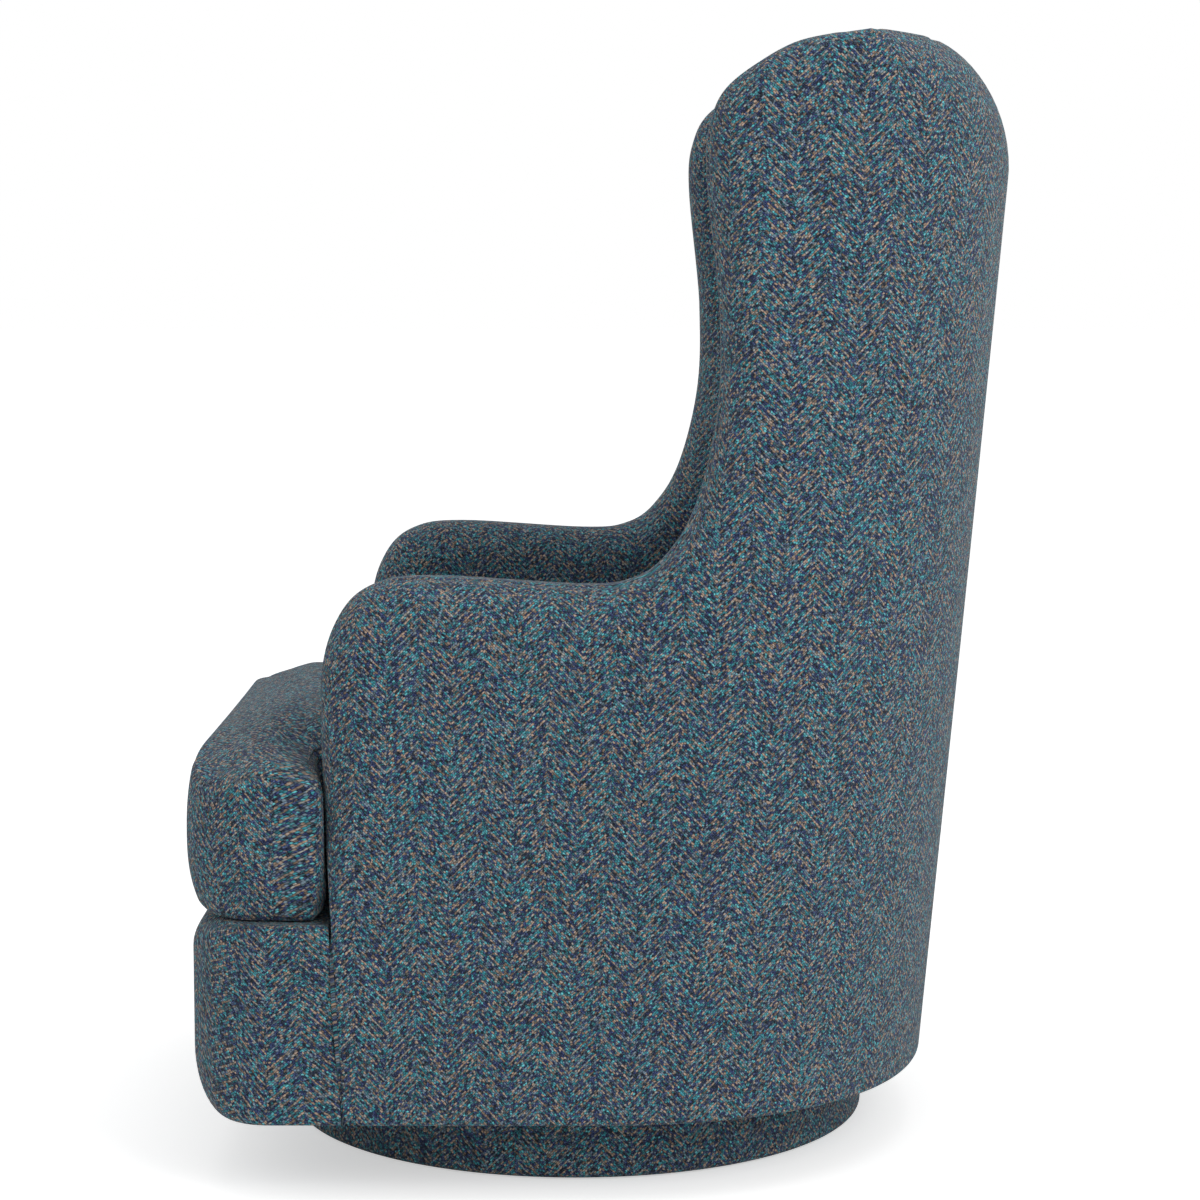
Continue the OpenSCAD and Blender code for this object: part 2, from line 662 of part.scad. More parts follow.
// Curved ribs of the back, flat in the middle and notched for the upright slats.
back_spring_x = slat_pitch / 2;
rib_lead = 12;
rib_end_in = 111;
rib_reach = chair_w / 2 - rib_end_in;
rib_toe = 30;
rib_mid_in = 191;
rib_mid_x = chair_w / 2 - rib_mid_in;
rib_start_s = 40;
rib_steps = 16;
spring_side = 5;
rib_flat = back_spring_x + spring_half_w + wire_t + spring_side;
mid_rib_set = 5;
seat_rib_z = 300;
waist_rib_z = 560;
shoulder_rib_z = 790;
top_rib_drop = 16;
top_rib_z = shoulder_z - top_rib_drop - rib_t / 2;
function rib_outer(z) = [for (k = [0:rib_steps]) let (s = mix(rib_start_s, turn_len, k / rib_steps),
    p = place(s, z, out_r(s, z) - skin_t - rib_lead)) [p[0], p[1]]];
function rib_inner_y(x, z) = rear_at(max(abs(x), rib_flat), z) - skin_t - rib_w;
function both_sides(pts) = concat(pts, [for (i = [len(pts) - 2:-1:0]) [-pts[i][0], pts[i][1]]]);

module rib(z, front_y, set_back) {
    inner = [for (x = [-rib_reach, -rib_mid_x, -rib_flat, rib_flat, rib_mid_x, rib_reach])
        [x, rib_inner_y(x, z) + set_back]];
    ends = [for (sx = [-1, 1]) [sx * (rib_reach + rib_toe), front_y]];
    color(wood_colour) difference() {
        translate([0, 0, z]) linear_extrude(rib_t) intersection() {
            polygon(concat(both_sides(rib_outer(z)), [ends[0]], inner, [ends[1]]));
            translate([-chair_w / 2, front_y]) square([chair_w, chair_d]);
        }
        slats(gap);
    }
}

slat_low = frame_foot_z;
slat_over = 20;
slat_under = 4;
slat_high = top_rib_z + rib_t;
module slats(extra) {
    for (k = [-1:1]) let (x = k * slat_pitch, low = rib_inner_y(x, slat_low),
        high = rib_inner_y(x, slat_high), lean = atan2(high - low, slat_high - slat_low),
        start = extra > 0 ? -slat_over : slat_under)
        translate([x, low, slat_low]) rotate([-lean, 0, 0])
            translate([-slat_w / 2 - extra, -extra, start])
                cube([slat_w + 2 * extra, slat_t + 2 * extra,
                    (slat_high - slat_low) / cos(lean) - 2 * start]);
}

module foot_rib() {
    rib(frame_foot_z, panel_rear_y + gap, 0);
}

module seat_rib() {
    rib(seat_rib_z, panel_rear_y + gap, 0);
}

module waist_rib() {
    rib(waist_rib_z, wing_panel_rear_y + gap, mid_rib_set);
}

module shoulder_rib() {
    rib(shoulder_rib_z, wing_panel_rear_y + gap, mid_rib_set);
}

module top_rib() {
    rib(top_rib_z, wing_panel_rear_y + gap, 0);
}

module back_slats() {
    color(wood_colour) slats(0);
}

// Sinuous springs: flat zigzag wires with round bends, whose ends are held by clips.
function bends(n, pitch) = [for (j = [0:n - 1]) let (side = j % 2 == 0 ? 1 : -1, r = pitch / 2)
    for (a = [-90:45:90]) [side * (spring_half_w - r + r * cos(a)), (j + 0.5) * pitch + r * sin(a)]];
function wire_path(n, pitch) = concat([[0, 0]], bends(n, pitch), [[0, n * pitch]]);
function wire_side(p, w) = [for (i = [0:len(p) - 1])
    let (d = p[min(i + 1, len(p) - 1)] - p[max(i - 1, 0)]) p[i] + w * [-d[1], d[0]] / norm(d)];

module zigzag(span) {
    n = ceil(span / bend_pitch);
    path = wire_path(n, span / n);
    right = wire_side(path, -wire_t / 2);
    linear_extrude(wire_t)
        polygon(concat(wire_side(path, wire_t / 2), [for (i = [len(right) - 1:-1:0]) right[i]]));
}

clip_w = 20;
clip_t = 1.2;
clip_tail = 8;
module end_clips(span, seats) {
    for (m = [0, 1]) translate([-clip_w / 2, m * span, 0]) mirror([0, m, 0]) translate([0, -clip_tail, 0]) {
        translate([0, 0, wire_t + gap]) cube([clip_w, clip_tail + wire_t, clip_t]);
        translate([0, 0, -seats[m]]) cube([clip_w, clip_t, seats[m] + wire_t + gap + clip_t]);
    }
}

seat_spring_y = front_board_y + board_t / 2;
seat_span = rear_board_y + board_t / 2 - seat_spring_y;
module at_seat_springs() {
    for (k = [0:seat_springs_n - 1]) let (x = (k - (seat_springs_n - 1) / 2) * spring_pitch)
        translate([x, seat_spring_y, spring_z]) children();
}

back_low = [rib_inner_y(0, seat_rib_z) - gap, seat_rib_z + rib_t];
back_high = [rib_inner_y(0, top_rib_z) - gap, top_rib_z + rib_t];
back_span = norm(back_high - back_low);
spring_lean = atan2(back_high[0] - back_low[0], back_high[1] - back_low[1]);
back_clip_seats = [for (m = [1, -1]) (rib_t / 2 + m * clip_tail) * tan(spring_lean) + gap / 2];
module at_back_springs() {
    for (sx = [-1, 1]) translate([sx * back_spring_x, back_low[0], back_low[1]])
        rotate([90 - spring_lean, 0, 0]) translate([0, -rib_t / 2, 0]) children();
}

module seat_springs() {
    color(steel_colour) at_seat_springs() zigzag(seat_span);
}

module back_springs() {
    color(steel_colour) at_back_springs() zigzag(back_span);
}

module spring_clips() {
    color(steel_colour) {
        at_seat_springs() end_clips(seat_span, [gap / 2, gap / 2]);
        at_back_springs() end_clips(back_span, back_clip_seats);
    }
}

// Deck pad and dust cover, cut to the inside and outside plans.
function half_plan(z, from, inner, less) = [for (k = [0:20]) let (s = mix(from, turn_len, k / 20),
    p = place(s, z, (inner ? in_r(s, z) : out_r(s, z)) - less)) [p[0], p[1]]];
deck_front_in = 1;
deck_front_y = arm_foot_back / 2 - arm_front + deck_front_in;
deck_space = 4;
dust_space = 2.5;
dust_lift = 0.4;
dust_t = 1;

module seat_deck() {
    half = concat([[half_w(pad_foot_z) - arm_t - deck_space, deck_front_y]],
        half_plan(pad_foot_z, 0, true, deck_space));
    color(dark_cloth) translate([0, 0, rail_top_z - deck_t]) linear_extrude(deck_t)
        polygon(both_sides(half));
}

dust_hole_share = 0.75;
dust_hole_r = plate_w * dust_hole_share;
module dust_cover() {
    half = concat([[rail_x, front_board_y], [rail_x, arm_foot_back - arm_front]],
        [[half_w(skirt_z) - skin_t - dust_space, arm_foot_back - arm_front + butt_r]],
        half_plan(skirt_z, 0, false, skin_t + dust_space));
    color(dark_cloth) translate([0, 0, skirt_z + dust_lift]) linear_extrude(dust_t) difference() {
        polygon(both_sides(half));
        translate([0, axis_y]) circle(r = dust_hole_r, $fn = round_fn);
    }
}

// Upholstered front rail: a rounded block in front of the arms, hollow round its board.
rail_butt = gap;
function rail_rear_y(z) = -arm_front - rail_butt
    + arm_foot_back * (1 - 0.5 * (z - skirt_z) / (pad_foot_z - skirt_z));

module front_rail_cover() {
    side = concat([[rail_rear_y(skirt_z), skirt_z]],
        [for (p = arc(1, 1, 1, -90, -180, 8))
            [rail_front_y + rail_low_in * p[0], skirt_z + rail_low_h * p[1]]],
        arc(rail_front_y + rail_top_r, rail_top_z - rail_top_r, rail_top_r, 180, 90, 6),
        [[rail_rear_y(rail_top_z), rail_top_z]]);
    corner_x = rail_half_w - rail_corner_r;
    corner_y = rail_front_y + rail_corner_r;
    plan = concat([[-rail_half_w, 0]], arc(-corner_x, corner_y, rail_corner_r, 180, 270, 8),
        arc(corner_x, corner_y, rail_corner_r, 270, 360, 8), [[rail_half_w, 0]]);
    color(fabric_colour) difference() {
        intersection() {
            translate([-chair_w / 2, 0, 0]) rotate([90, 0, 90]) linear_extrude(chair_w) polygon(side);
            linear_extrude(chair_h) polygon(plan);
        }
        translate([-rail_x - gap, front_board_y - gap, 0])
            cube([2 * (rail_x + gap), chair_d, spring_z + wire_t + 2 * gap + clip_t + 1]);
    }
}

// Seat cushion: T-shaped plan with ears in front of the arms, crowned on top.
notch_r = 8;
ear_rear_y = cushion_front_y + ear_d;
cushion_side_x = half_w(cushion_z) - arm_t - cushion_space;
cushion_half = concat(
    [for (k = [0:5]) [k / 5 * (ear_half_w - ear_front_r), cushion_front_y]],
    [for (k = [1:5]) let (a = 18 * k - 90) [ear_half_w - ear_front_r + ear_front_r * cos(a),
        cushion_front_y + ear_front_r + ear_front_r * sin(a)]],
    arc(ear_half_w - ear_rear_r, ear_rear_y - ear_rear_r, ear_rear_r, 0, 90, 4),
    arc(cushion_side_x + notch_r, ear_rear_y + notch_r, notch_r, 270, 180, 3),
    [for (k = [1:3]) [cushion_side_x, mix(ear_rear_y + notch_r, turn_y(cushion_z), k / 4)]],
    [for (k = [0:12]) let (s = turn_len * k / 12,
        p = place(s, cushion_z, in_r(s, cushion_z) - cushion_space)) [p[0], p[1]]]);
cushion_n = len(cushion_half);
cushion_outline = [for (i = [0:2 * cushion_n - 3]) i < cushion_n ? cushion_half[i]
    : [-cushion_half[2 * cushion_n - 2 - i][0], cushion_half[2 * cushion_n - 2 - i][1]]];
cushion_len = len(cushion_outline);
function cushion_dir(i) = let (d = cushion_outline[(i + 1) % cushion_len]
    - cushion_outline[(i + cushion_len - 1) % cushion_len]) [-d[1], d[0]] / norm(d);
function cushion_pull(p) = p[1] > cushion_front_y + 0.1 ? 0
    : draw_in * max(0, 1 - pow(p[0] / (ear_half_w - ear_front_r), 2));
function cushion_ring(less) = [for (i = [0:cushion_len - 1]) let (p = cushion_outline[i])
    p + less * cushion_dir(i) + [0, cushion_pull(p)]];

cushion_pivot = [0, cushion_front_y + ear_d * 0.7];
seam_z = cushion_z + border_h;
border_rows = [[0, 3 * border_bulge], [0.05, border_bulge], [0.2, 0.35 * border_bulge], [0.5, 0],
    [0.8, 0.35 * border_bulge], [1, border_bulge]];
crown_rows = [0.97, 0.9, 0.78, 0.6, 0.42, 0.22];
crown_reach = 85;
function crown_z(p, k) = seam_z
    + cushion_crown * pow(ease((1 - k) * norm(p - cushion_pivot) / crown_reach), 0.75)
    * max(0, 1 - pow(k * p[0] / ear_half_w, 2));

module cushion_shape() {
    rings = concat(
        [for (r = border_rows) [for (p = cushion_ring(r[1])) [p[0], p[1], cushion_z + r[0] * border_h]]],
        [for (k = crown_rows) [for (p = cushion_ring(border_bulge)) let (q = mix(cushion_pivot, p, k))
            [q[0], q[1], crown_z(p, k)]]]);
    n = len(rings);
    m = cushion_len;
    low = n * m;
    sides = [for (i = [0:n - 2], j = [0:m - 1], k = [0:1])
        let (a = i * m + j, b = i * m + (j + 1) % m) k == 0 ? [a, a + m, b] : [b, a + m, b + m]];
    base = [for (j = [0:m - 1]) [j, (j + 1) % m, low]];
    top = [for (j = [0:m - 1]) [(n - 1) * m + (j + 1) % m, (n - 1) * m + j, low + 1]];
    polyhedron(concat([for (r = rings) each r],
        [[cushion_pivot[0], cushion_pivot[1], cushion_z],
        [cushion_pivot[0], cushion_pivot[1], seam_z + cushion_crown]]),
        concat(sides, base, top), convexity = 6);
}

core_z = cushion_z + (border_h - core_h) / 2;
module core_slab(extra) {
    translate([0, 0, core_z - extra]) linear_extrude(core_h + 2 * extra)
        polygon(cushion_ring(core_wrap - extra));
}

zip_w = 12;
zip_t = 3;
zip_deep = 1;
zip_z = cushion_z + border_h / 2 - zip_w / 2;

module rear_half(half_len) {
    translate([-half_len, 0]) square([2 * half_len, chair_d]);
}

module zip_slot() {
    translate([0, 0, zip_z - gap]) linear_extrude(zip_w + 2 * gap) difference() {
        rear_half(zip_half + gap);
        polygon(cushion_ring(zip_deep + zip_t + gap));
    }
}

module cushion_cover() {
    color(fabric_colour) difference() {
        cushion_shape();
        core_slab(gap);
        zip_slot();
    }
}

module cushion_core() {
    color(foam_colour) core_slab(0);
}

module cushion_zip() {
    color(black_plastic) translate([0, 0, zip_z]) linear_extrude(zip_w) intersection() {
        difference() {
            polygon(cushion_ring(zip_deep));
            polygon(cushion_ring(zip_deep + zip_t));
        }
        rear_half(zip_half);
    }
}

plinth_cover();
plinth_hoop();
plinth_top_board();
base_glides();
swivel_lower_plate();
bearing_balls();
ball_cage();
centre_pin();
lower_plate_screws();
swivel_upper_plate();
upper_plate_screws();
cross_bearers();
seat_side_rail_left();
seat_side_rail_right();
front_rail_board();
rear_seat_rail();
corner_blocks();
arm_panel_left();
arm_panel_right();
wing_panel_left();
wing_panel_right();
foot_rib();
seat_rib();
waist_rib();
shoulder_rib();
top_rib();
back_slats();
seat_springs();
spring_clips();
back_springs();
seat_deck();
dust_cover();
outside_cover();
inside_arm_left();
inside_arm_right();
inside_back();
front_rail_cover();
cushion_cover();
cushion_core();
cushion_zip();
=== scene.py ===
import functools
import math

import bpy
import numpy as np
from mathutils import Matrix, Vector


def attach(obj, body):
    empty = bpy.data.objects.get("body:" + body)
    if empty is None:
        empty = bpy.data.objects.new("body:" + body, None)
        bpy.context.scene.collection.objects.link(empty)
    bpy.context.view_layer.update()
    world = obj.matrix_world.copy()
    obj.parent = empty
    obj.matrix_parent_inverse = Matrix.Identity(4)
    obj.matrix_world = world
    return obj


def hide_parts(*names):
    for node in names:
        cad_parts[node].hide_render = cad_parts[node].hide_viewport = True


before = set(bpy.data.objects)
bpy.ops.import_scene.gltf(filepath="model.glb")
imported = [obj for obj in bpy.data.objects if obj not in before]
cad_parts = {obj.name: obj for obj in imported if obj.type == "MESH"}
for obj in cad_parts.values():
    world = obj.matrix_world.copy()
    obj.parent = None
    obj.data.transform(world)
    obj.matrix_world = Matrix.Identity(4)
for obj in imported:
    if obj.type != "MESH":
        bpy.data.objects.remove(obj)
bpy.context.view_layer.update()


# Herringbone tweed, the cloth that every outside piece is cut from: a blended wool yarn
# woven 2/2 twill, tan and grey warp over navy and teal weft, whose diagonal turns back
# every 31 mm. The eye gets flecked diagonal dashes, a matt face and a little wool sheen.
# Four threads make a rib of the twill. Lengths are in metres.
THREAD, RIB, COLUMN, COLUMN_START = 0.002, 0.008, 0.031, 0.0262
WARP_SHARE, WARP_LONG, WEFT_LONG = 0.33, 0.0052, 0.0038
SLUB, STRAY, BLEND = 0.0028, 0.18, "#5a6874"
WARP_YARNS = (("#957d6a", 0.38), ("#86827a", 0.22), ("#647480", 0.18), ("#3c828a", 0.10),
              ("#2a365a", 0.12))
WEFT_YARNS = (("#1e2a58", 0.36), ("#141c2c", 0.20), ("#227884", 0.22), ("#4ea2a8", 0.08),
              ("#5c6c7c", 0.14))
# How far each rib and step is staggered, and how much a fleck is rounded off.
STEP_STAGGER, RIB_STAGGER, ROUNDING = 0.5, 0.37, 3.2


def linear(code):
    """sRGB hex colour as linear red, green, blue and alpha 1."""
    c = np.array([int(code[k:k + 2], 16) for k in (1, 3, 5)]) / 255
    return tuple(np.where(c <= 0.04045, c / 12.92, ((c + 0.055) / 1.055) ** 2.4)) + (1.0,)


def add(tree, kind, *values, **named):
    """Adds a node of a kind, which its operation may follow. Values fill its inputs in order.
    A capitalised name is an input, with _ for a space, i6 is input 6, and any other name is
    a setting. An input takes a value, a socket, or a node, for its first output."""
    kind, *operation = kind.split()
    made = tree.nodes.new("ShaderNode" + kind)
    if operation:
        made.operation = operation[0]
    inputs = dict(enumerate(values))
    for name, value in named.items():
        if name[0].isupper():
            inputs[name.replace("_", " ")] = value
        elif name[1:].isdigit():
            inputs[int(name[1:])] = value
        else:
            setattr(made, name, value)
    for name, value in inputs.items():
        if isinstance(value, bpy.types.Node):
            value = value.outputs[0]
        if isinstance(value, bpy.types.NodeSocket):
            tree.links.new(value, made.inputs[name])
        else:
            made.inputs[name].default_value = value
    return made


def new_material(name):
    """An empty node material, and the add function for its tree."""
    material = bpy.data.materials.new(name)
    material.use_nodes = True
    material.node_tree.nodes.clear()
    return material, functools.partial(add, material.node_tree)


def herringbone_tweed():
    """The cloth, on the UV map that holds each piece's cloth coordinates in metres. Uneven
    yarn moves the threads a little, and loose fibres blend and break each fleck's colour."""
    material, node = new_material("herringbone_wool_tweed")
    uv = node("UVMap", uv_map="cloth")
    slub = node("TexNoise", Vector=uv, Scale=0.4 / THREAD, Detail=2.0)
    moved = node("VectorMath", slub.outputs[1], (-0.5, -0.5, -0.5))
    uneven = node("VectorMath MULTIPLY_ADD", moved, (SLUB, SLUB, 0.0), uv)
    split = node("SeparateXYZ", uneven)
    u, v = split.outputs[0], split.outputs[1]

    # Places in the weave: column, rib across the twill, step in the rib and cell down it.
    shifted = node("Math SUBTRACT", u, COLUMN_START)
    turned = node("Math PINGPONG", shifted, COLUMN)
    along = node("Math DIVIDE", node("Math", turned, v), RIB)
    in_rib = node("Math FRACT", along)
    rib_no = node("Math FLOOR", along)
    over = node("Math LESS_THAN", in_rib, WARP_SHARE)
    past_warp = node("Math SUBTRACT", in_rib, WARP_SHARE)
    in_weft = node("Math DIVIDE", past_warp, (1 - WARP_SHARE) / 2)
    in_warp = node("Math DIVIDE", in_rib, WARP_SHARE)
    step_at = node("Mix", over, i2=in_weft, i3=in_warp)
    step_no = node("Math FLOOR", step_at)
    down_rib = node("Math SUBTRACT", turned, v)
    long = node("Mix", over, i2=WEFT_LONG, i3=WARP_LONG)
    stagger = node("Math", node("Math MULTIPLY", step_no, STEP_STAGGER),
                   node("Math MULTIPLY", rib_no, RIB_STAGGER))
    cell_at = node("Math", node("Math DIVIDE", down_rib, long), stagger)
    cell_row = node("Math", node("Math MULTIPLY", rib_no, 3.0), step_no)
    column_no = node("Math FLOOR", node("Math DIVIDE", shifted, COLUMN))
    layer = node("Math", node("Math MULTIPLY", column_no, 2.0), over)
    cell = node("CombineXYZ", node("Math FLOOR", cell_at), cell_row, layer)

    # Each cell is a fleck of one yarn, picked at random, and patches favour some colours.
    fleck = node("TexWhiteNoise", cell, noise_dimensions="3D")
    fleck_parts = node("SeparateXYZ", fleck.outputs[1])
    patch = node("TexNoise", Vector=uv, Scale=0.3 / THREAD, Detail=2.0)
    drift = node("Math MULTIPLY", node("Math SUBTRACT", patch, 0.5), 0.6)
    pick = node("Math FRACT", node("Math", fleck_parts.outputs[0], drift))
    stray = node("Math LESS_THAN", fleck_parts.outputs[1], STRAY)
    shown = node("Math ABSOLUTE", node("Math SUBTRACT", over, stray))
    ramps = []
    for yarns in (WEFT_YARNS, WARP_YARNS):
        ramp, place_at = node("ValToRGB", pick), 0.0
        stops = ramp.color_ramp.elements
        ramp.color_ramp.interpolation = "CONSTANT"
        for k, (code, share) in enumerate(yarns):
            stop = stops[0] if k == 0 else stops.new(place_at)
            stop.position, stop.color = place_at, linear(code)
            place_at += share
        stops.remove(stops[-1])
        ramps.append(ramp)
    cloth = node("Mix", shown, i6=ramps[0], i7=ramps[1], data_type="RGBA")
    fibre = node("TexNoise", Vector=uv, Scale=1.3 / THREAD, Detail=3.0, Roughness=0.65)
    blend = node("MapRange", fibre, 0.42, 0.66, 0.0, 0.5)
    blended = node("Mix", blend, i6=cloth.outputs[2], i7=linear(BLEND), data_type="RGBA")

    # The fleck's rounded top, from the distances to its sides, raises it, and painted shade darkens
    # its sides.
    powers = []
    for at in (cell_at, step_at):
        aside = node("Math SUBTRACT", node("Math FRACT", at), 0.5)
        powers.append(node("Math POWER", node("Math ABSOLUTE", aside), 3.0))
    corner = node("Math POWER", node("Math", *powers), 1 / 3)
    squared = node("Math MULTIPLY", corner, corner)
    lower = node("Math MULTIPLY", squared, ROUNDING)
    round_top = node("Math SUBTRACT", 1.0, lower)
    # Painted shade: each fleck is darkened towards its sides, where the threads meet.
    painted_gap_shade = node("MapRange", round_top, 0.1, 0.85, 0.30, 1.0)
    lit = node("MapRange", fleck_parts.outputs[2], 0.0, 1.0, 0.55, 1.85)
    fuzz = node("MapRange", fibre, 0.3, 0.7, 0.55, 1.65)
    tone = node("Math MULTIPLY", node("Math MULTIPLY", painted_gap_shade, lit), fuzz)
    shade = node("Mix", 1.0, i6=blended.outputs[2], i7=tone, data_type="RGBA",
                 blend_type="MULTIPLY")
    warp_up = node("Math", round_top, node("Math MULTIPLY", over, 0.35))
    raised = node("Math", node("Math MULTIPLY", fibre, 0.8), warp_up)
    bump = node("Bump", Strength=0.8, Distance=0.0006, Height=raised)
    shader = node("BsdfPrincipled", Base_Color=shade.outputs[2], Roughness=0.92, Normal=bump,
                  Specular_IOR_Level=0.25, Sheen_Weight=0.10, Sheen_Roughness=0.5)
    node("OutputMaterial", shader)
    return material


tweed = herringbone_tweed()


# Barrel shell: one stretched, back-tacked outside cover over thin padding, wrapped round
# both arms and wings and over the top of the back, where it turns through a large roll to
# the seam with the inside pads. Its lower edge is turned under the frame and stapled.
CHAIR_H, CHAIR_W, CHAIR_D, SKIRT_Z = 1.155, 0.762, 0.833, 0.076
BACK_LEAN, BACK_ROLL, BACK_ROLL_SHAPE = math.radians(4.8), 0.147, 3.2
TOP_TAPER, TAPER_Z = 0.036, 0.5
TURN_FRONT, TURN_DRIFT, TURN_LEN = 0.020, 0.16, 0.56
PLAN_LOW, PLAN_TOP, PLAN_INSIDE = 2.25, 3.0, 3.0
ARM_T, BACK_T, SKIN_T, THINNEST = 0.105, 0.230, 0.010, 0.002
CROWN_DROP, CROWN_SHAPE = 0.014, 4
SHOULDER_Z, SIDE_CREST_Z = CHAIR_H - BACK_ROLL, CHAIR_H - CROWN_DROP
ARM_FRONT, PAD_FOOT_Z, BUTT_R, UNDER_R = 0.281, 0.258, 0.014, 0.006
CREST_FOOT, FOOT_FAN = 0.5 * TURN_LEN, 0.75
SEAM_GROOVE, SEAM_WIDTH, SEAM_SHARE, BACK_SEAM = 0.0022, 0.0040, 0.85, 0.100
# The outer roll at the wing's top, and the inner roll and pad thickness there and mid-back.
WING_ROLL, INNER_ROLLS, PAD_THICKNESS = 0.025, (0.040, 0.060), (0.040, 0.110)
# Stations of the side's edge: y and height, and the outer and inner roll in millimetres.
EDGE_STATIONS = np.array([
    (-0.261, 0.076, 2.8, 4), (-0.271, 0.258, 2.8, 14), (-0.279, 0.388, 45, 45),
    (-0.281, 0.511, 45, 45), (-0.263, 0.574, 45, 45), (-0.229, 0.604, 45, 45),
    (-0.171, 0.612, 45, 45), (-0.029, 0.604, 45, 45), (0.022, 0.609, 45, 45),
    (0.056, 0.632, 45, 45), (0.088, 0.686, 49, 49), (0.109, 0.774, 49, 49),
    (0.108, 0.871, 49, 49), (0.095, 1.002, 49, 45), (0.100, 1.056, 40, 40),
    (0.122, 1.092, 32.5, 40), (0.183, 1.127, 25, 40), (0.256, 1.141, 25, 40)
]) * (1, 1, 0.001, 0.001)
STATION_CUTS, BACK_CUTS = 8, 56
MAIN_ROWS, ROLL_ROWS, LINING_ROWS, UNDER_ROWS, LINING_ROLL_ROWS = 56, 14, 6, 5, 3


def ease(t):
    """Smooth step from 0 to 1."""
    t = np.clip(t, 0, 1)
    return t * t * (3 - 2 * t)


def mix(a, b, t):
    """Straight mix of a and b."""
    return a + (b - a) * t


def stacked(*parts):
    """Arrays side by side on a new last axis, each widened to the shape they share."""
    return np.stack(np.broadcast_arrays(*parts), -1)


def unit(v):
    """The directions of the vectors, as vectors of length 1."""
    return v / np.maximum(np.linalg.norm(v, axis=-1, keepdims=True), 1e-9)


def run_along(path, axis=0):
    """Length of a path up to each of its points, which follow one another on the axis."""
    steps = np.linalg.norm(np.diff(path, axis=axis), axis=-1)
    return np.insert(np.cumsum(steps, axis), 0, 0, axis)


def half_w(z):
    """Half width of the barrel, which leans in smoothly above the taper's start."""
    return CHAIR_W / 2 - TOP_TAPER * ease((z - TAPER_Z) / (CHAIR_H - TAPER_Z))


def rear_y(z):
    """Rear line: upright above the shoulder and leaning below it."""
    return CHAIR_D / 2 - np.maximum(0, SHOULDER_Z - z) * math.tan(BACK_LEAN)


def turn_y(z):
    """Where the straight side turns into the back, which drifts rearwards with height."""
    return TURN_DRIFT * (z - SKIRT_Z) - TURN_FRONT


def plan_n(z):
    """Roundness exponent of the outside plan at height z."""
    return mix(PLAN_LOW, PLAN_TOP, (z - SKIRT_Z) / (CHAIR_H - SKIRT_Z))


def plan_r(s, a, b, n):
    """Radius of a superellipse of half sizes a and b at the angle that label s stands for,
    or a itself in front of the turn."""
    phi = np.maximum(s, 0) / TURN_LEN * math.pi / 2
    r = ((np.abs(np.cos(phi)) / a) ** n + (np.abs(np.sin(phi)) / b) ** n) ** (-1 / n)
    return np.where(s <= 0, a, r)


def out_r(s, z):
    """Outside radius at label s and height z."""
    return plan_r(s, half_w(z), rear_y(z) - turn_y(z), plan_n(z))


def in_r(s, z):
    """Inside radius at label s and height z."""
    return plan_r(s, half_w(z) - ARM_T, rear_y(z) - BACK_T - turn_y(z), PLAN_INSIDE)


def placed(s, z, r):
    """Point at label s, height z and radius r, on the +X half of the barrel."""
    phi = np.maximum(s, 0) / TURN_LEN * math.pi / 2
    return stacked(r * np.cos(phi), turn_y(z) + np.minimum(s, 0) + r * np.sin(phi), z)


def label_of(y, z):
    """Label of the outside point at y and z, from the superellipse solved for x."""
    past, n = y - turn_y(z), plan_n(z)
    back = np.maximum(past, 0)
    x = half_w(z) * np.maximum(1 - (back / (rear_y(z) - turn_y(z))) ** n, 0) ** (1 / n)
    return np.where(past <= 0, past, TURN_LEN / (math.pi / 2) * np.arctan2(back, x))


def catmull_rom(points, cuts):
    """Catmull-Rom curve through the points, cut into equal steps of its parameter."""
    p = np.vstack([points[:1], points, points[-1:]])
    t = (np.arange(cuts) / cuts)[None, :, None]
    a, b, c, d = p[:-3, None], p[1:-2, None], p[2:-1, None], p[3:, None]
    curve = 0.5 * (2 * b + (c - a) * t + (2 * a - 5 * b + 4 * c - d) * t ** 2
                   + (3 * b - a - 3 * c + d) * t ** 3)
    return curve.reshape(-1, points.shape[1])


side_edge = catmull_rom(EDGE_STATIONS, STATION_CUTS)
SIDE_N = len(side_edge)
crest_s = float(label_of(EDGE_STATIONS[-1, 0], EDGE_STATIONS[-1, 1]))
back_t = np.arange(BACK_CUTS + 1) / BACK_CUTS
back_s = mix(crest_s, TURN_LEN, back_t)
back_w = 1 - (1 - back_t) ** BACK_ROLL_SHAPE
back_out = mix(WING_ROLL, BACK_ROLL, back_w)
crest_x = placed(back_s, SIDE_CREST_Z, out_r(back_s, SIDE_CREST_Z) - back_out)[:, 0]
back_crown = CROWN_DROP * (1 - (crest_x / crest_x[0]) ** 2) ** CROWN_SHAPE
# The half edge, column by column: label, height, outer roll, inner roll and seam depth. Over
# the back its height is a shallow arch across the width.
edge_s = np.hstack([label_of(side_edge[:, 0], side_edge[:, 1]), back_s])
edge_crown = np.hstack([np.zeros(SIDE_N), back_crown])
edge_z = np.hstack([side_edge[:, 1], SIDE_CREST_Z + back_crown])
edge_out = np.hstack([side_edge[:, 2], back_out])
edge_in = np.hstack([side_edge[:, 3], mix(*INNER_ROLLS, ease(back_t))])
edge_seam = np.hstack([SEAM_SHARE * side_edge[:, 2],
                       mix(SEAM_SHARE * WING_ROLL, BACK_SEAM, back_w)])
edge_pad = np.hstack([np.full(SIDE_N, PAD_THICKNESS[0]), mix(*PAD_THICKNESS, ease(back_t))])
EDGE_N = len(edge_s)
slope = stacked(np.gradient(edge_s), np.gradient(edge_z))
slope[0], slope[-1] = (0, 1), (1, 0)
slope = unit(slope)
inward = stacked(slope[:, 1], -slope[:, 0])
seam_q = np.arcsin(np.clip(1 - edge_seam / edge_out, -1, 1))

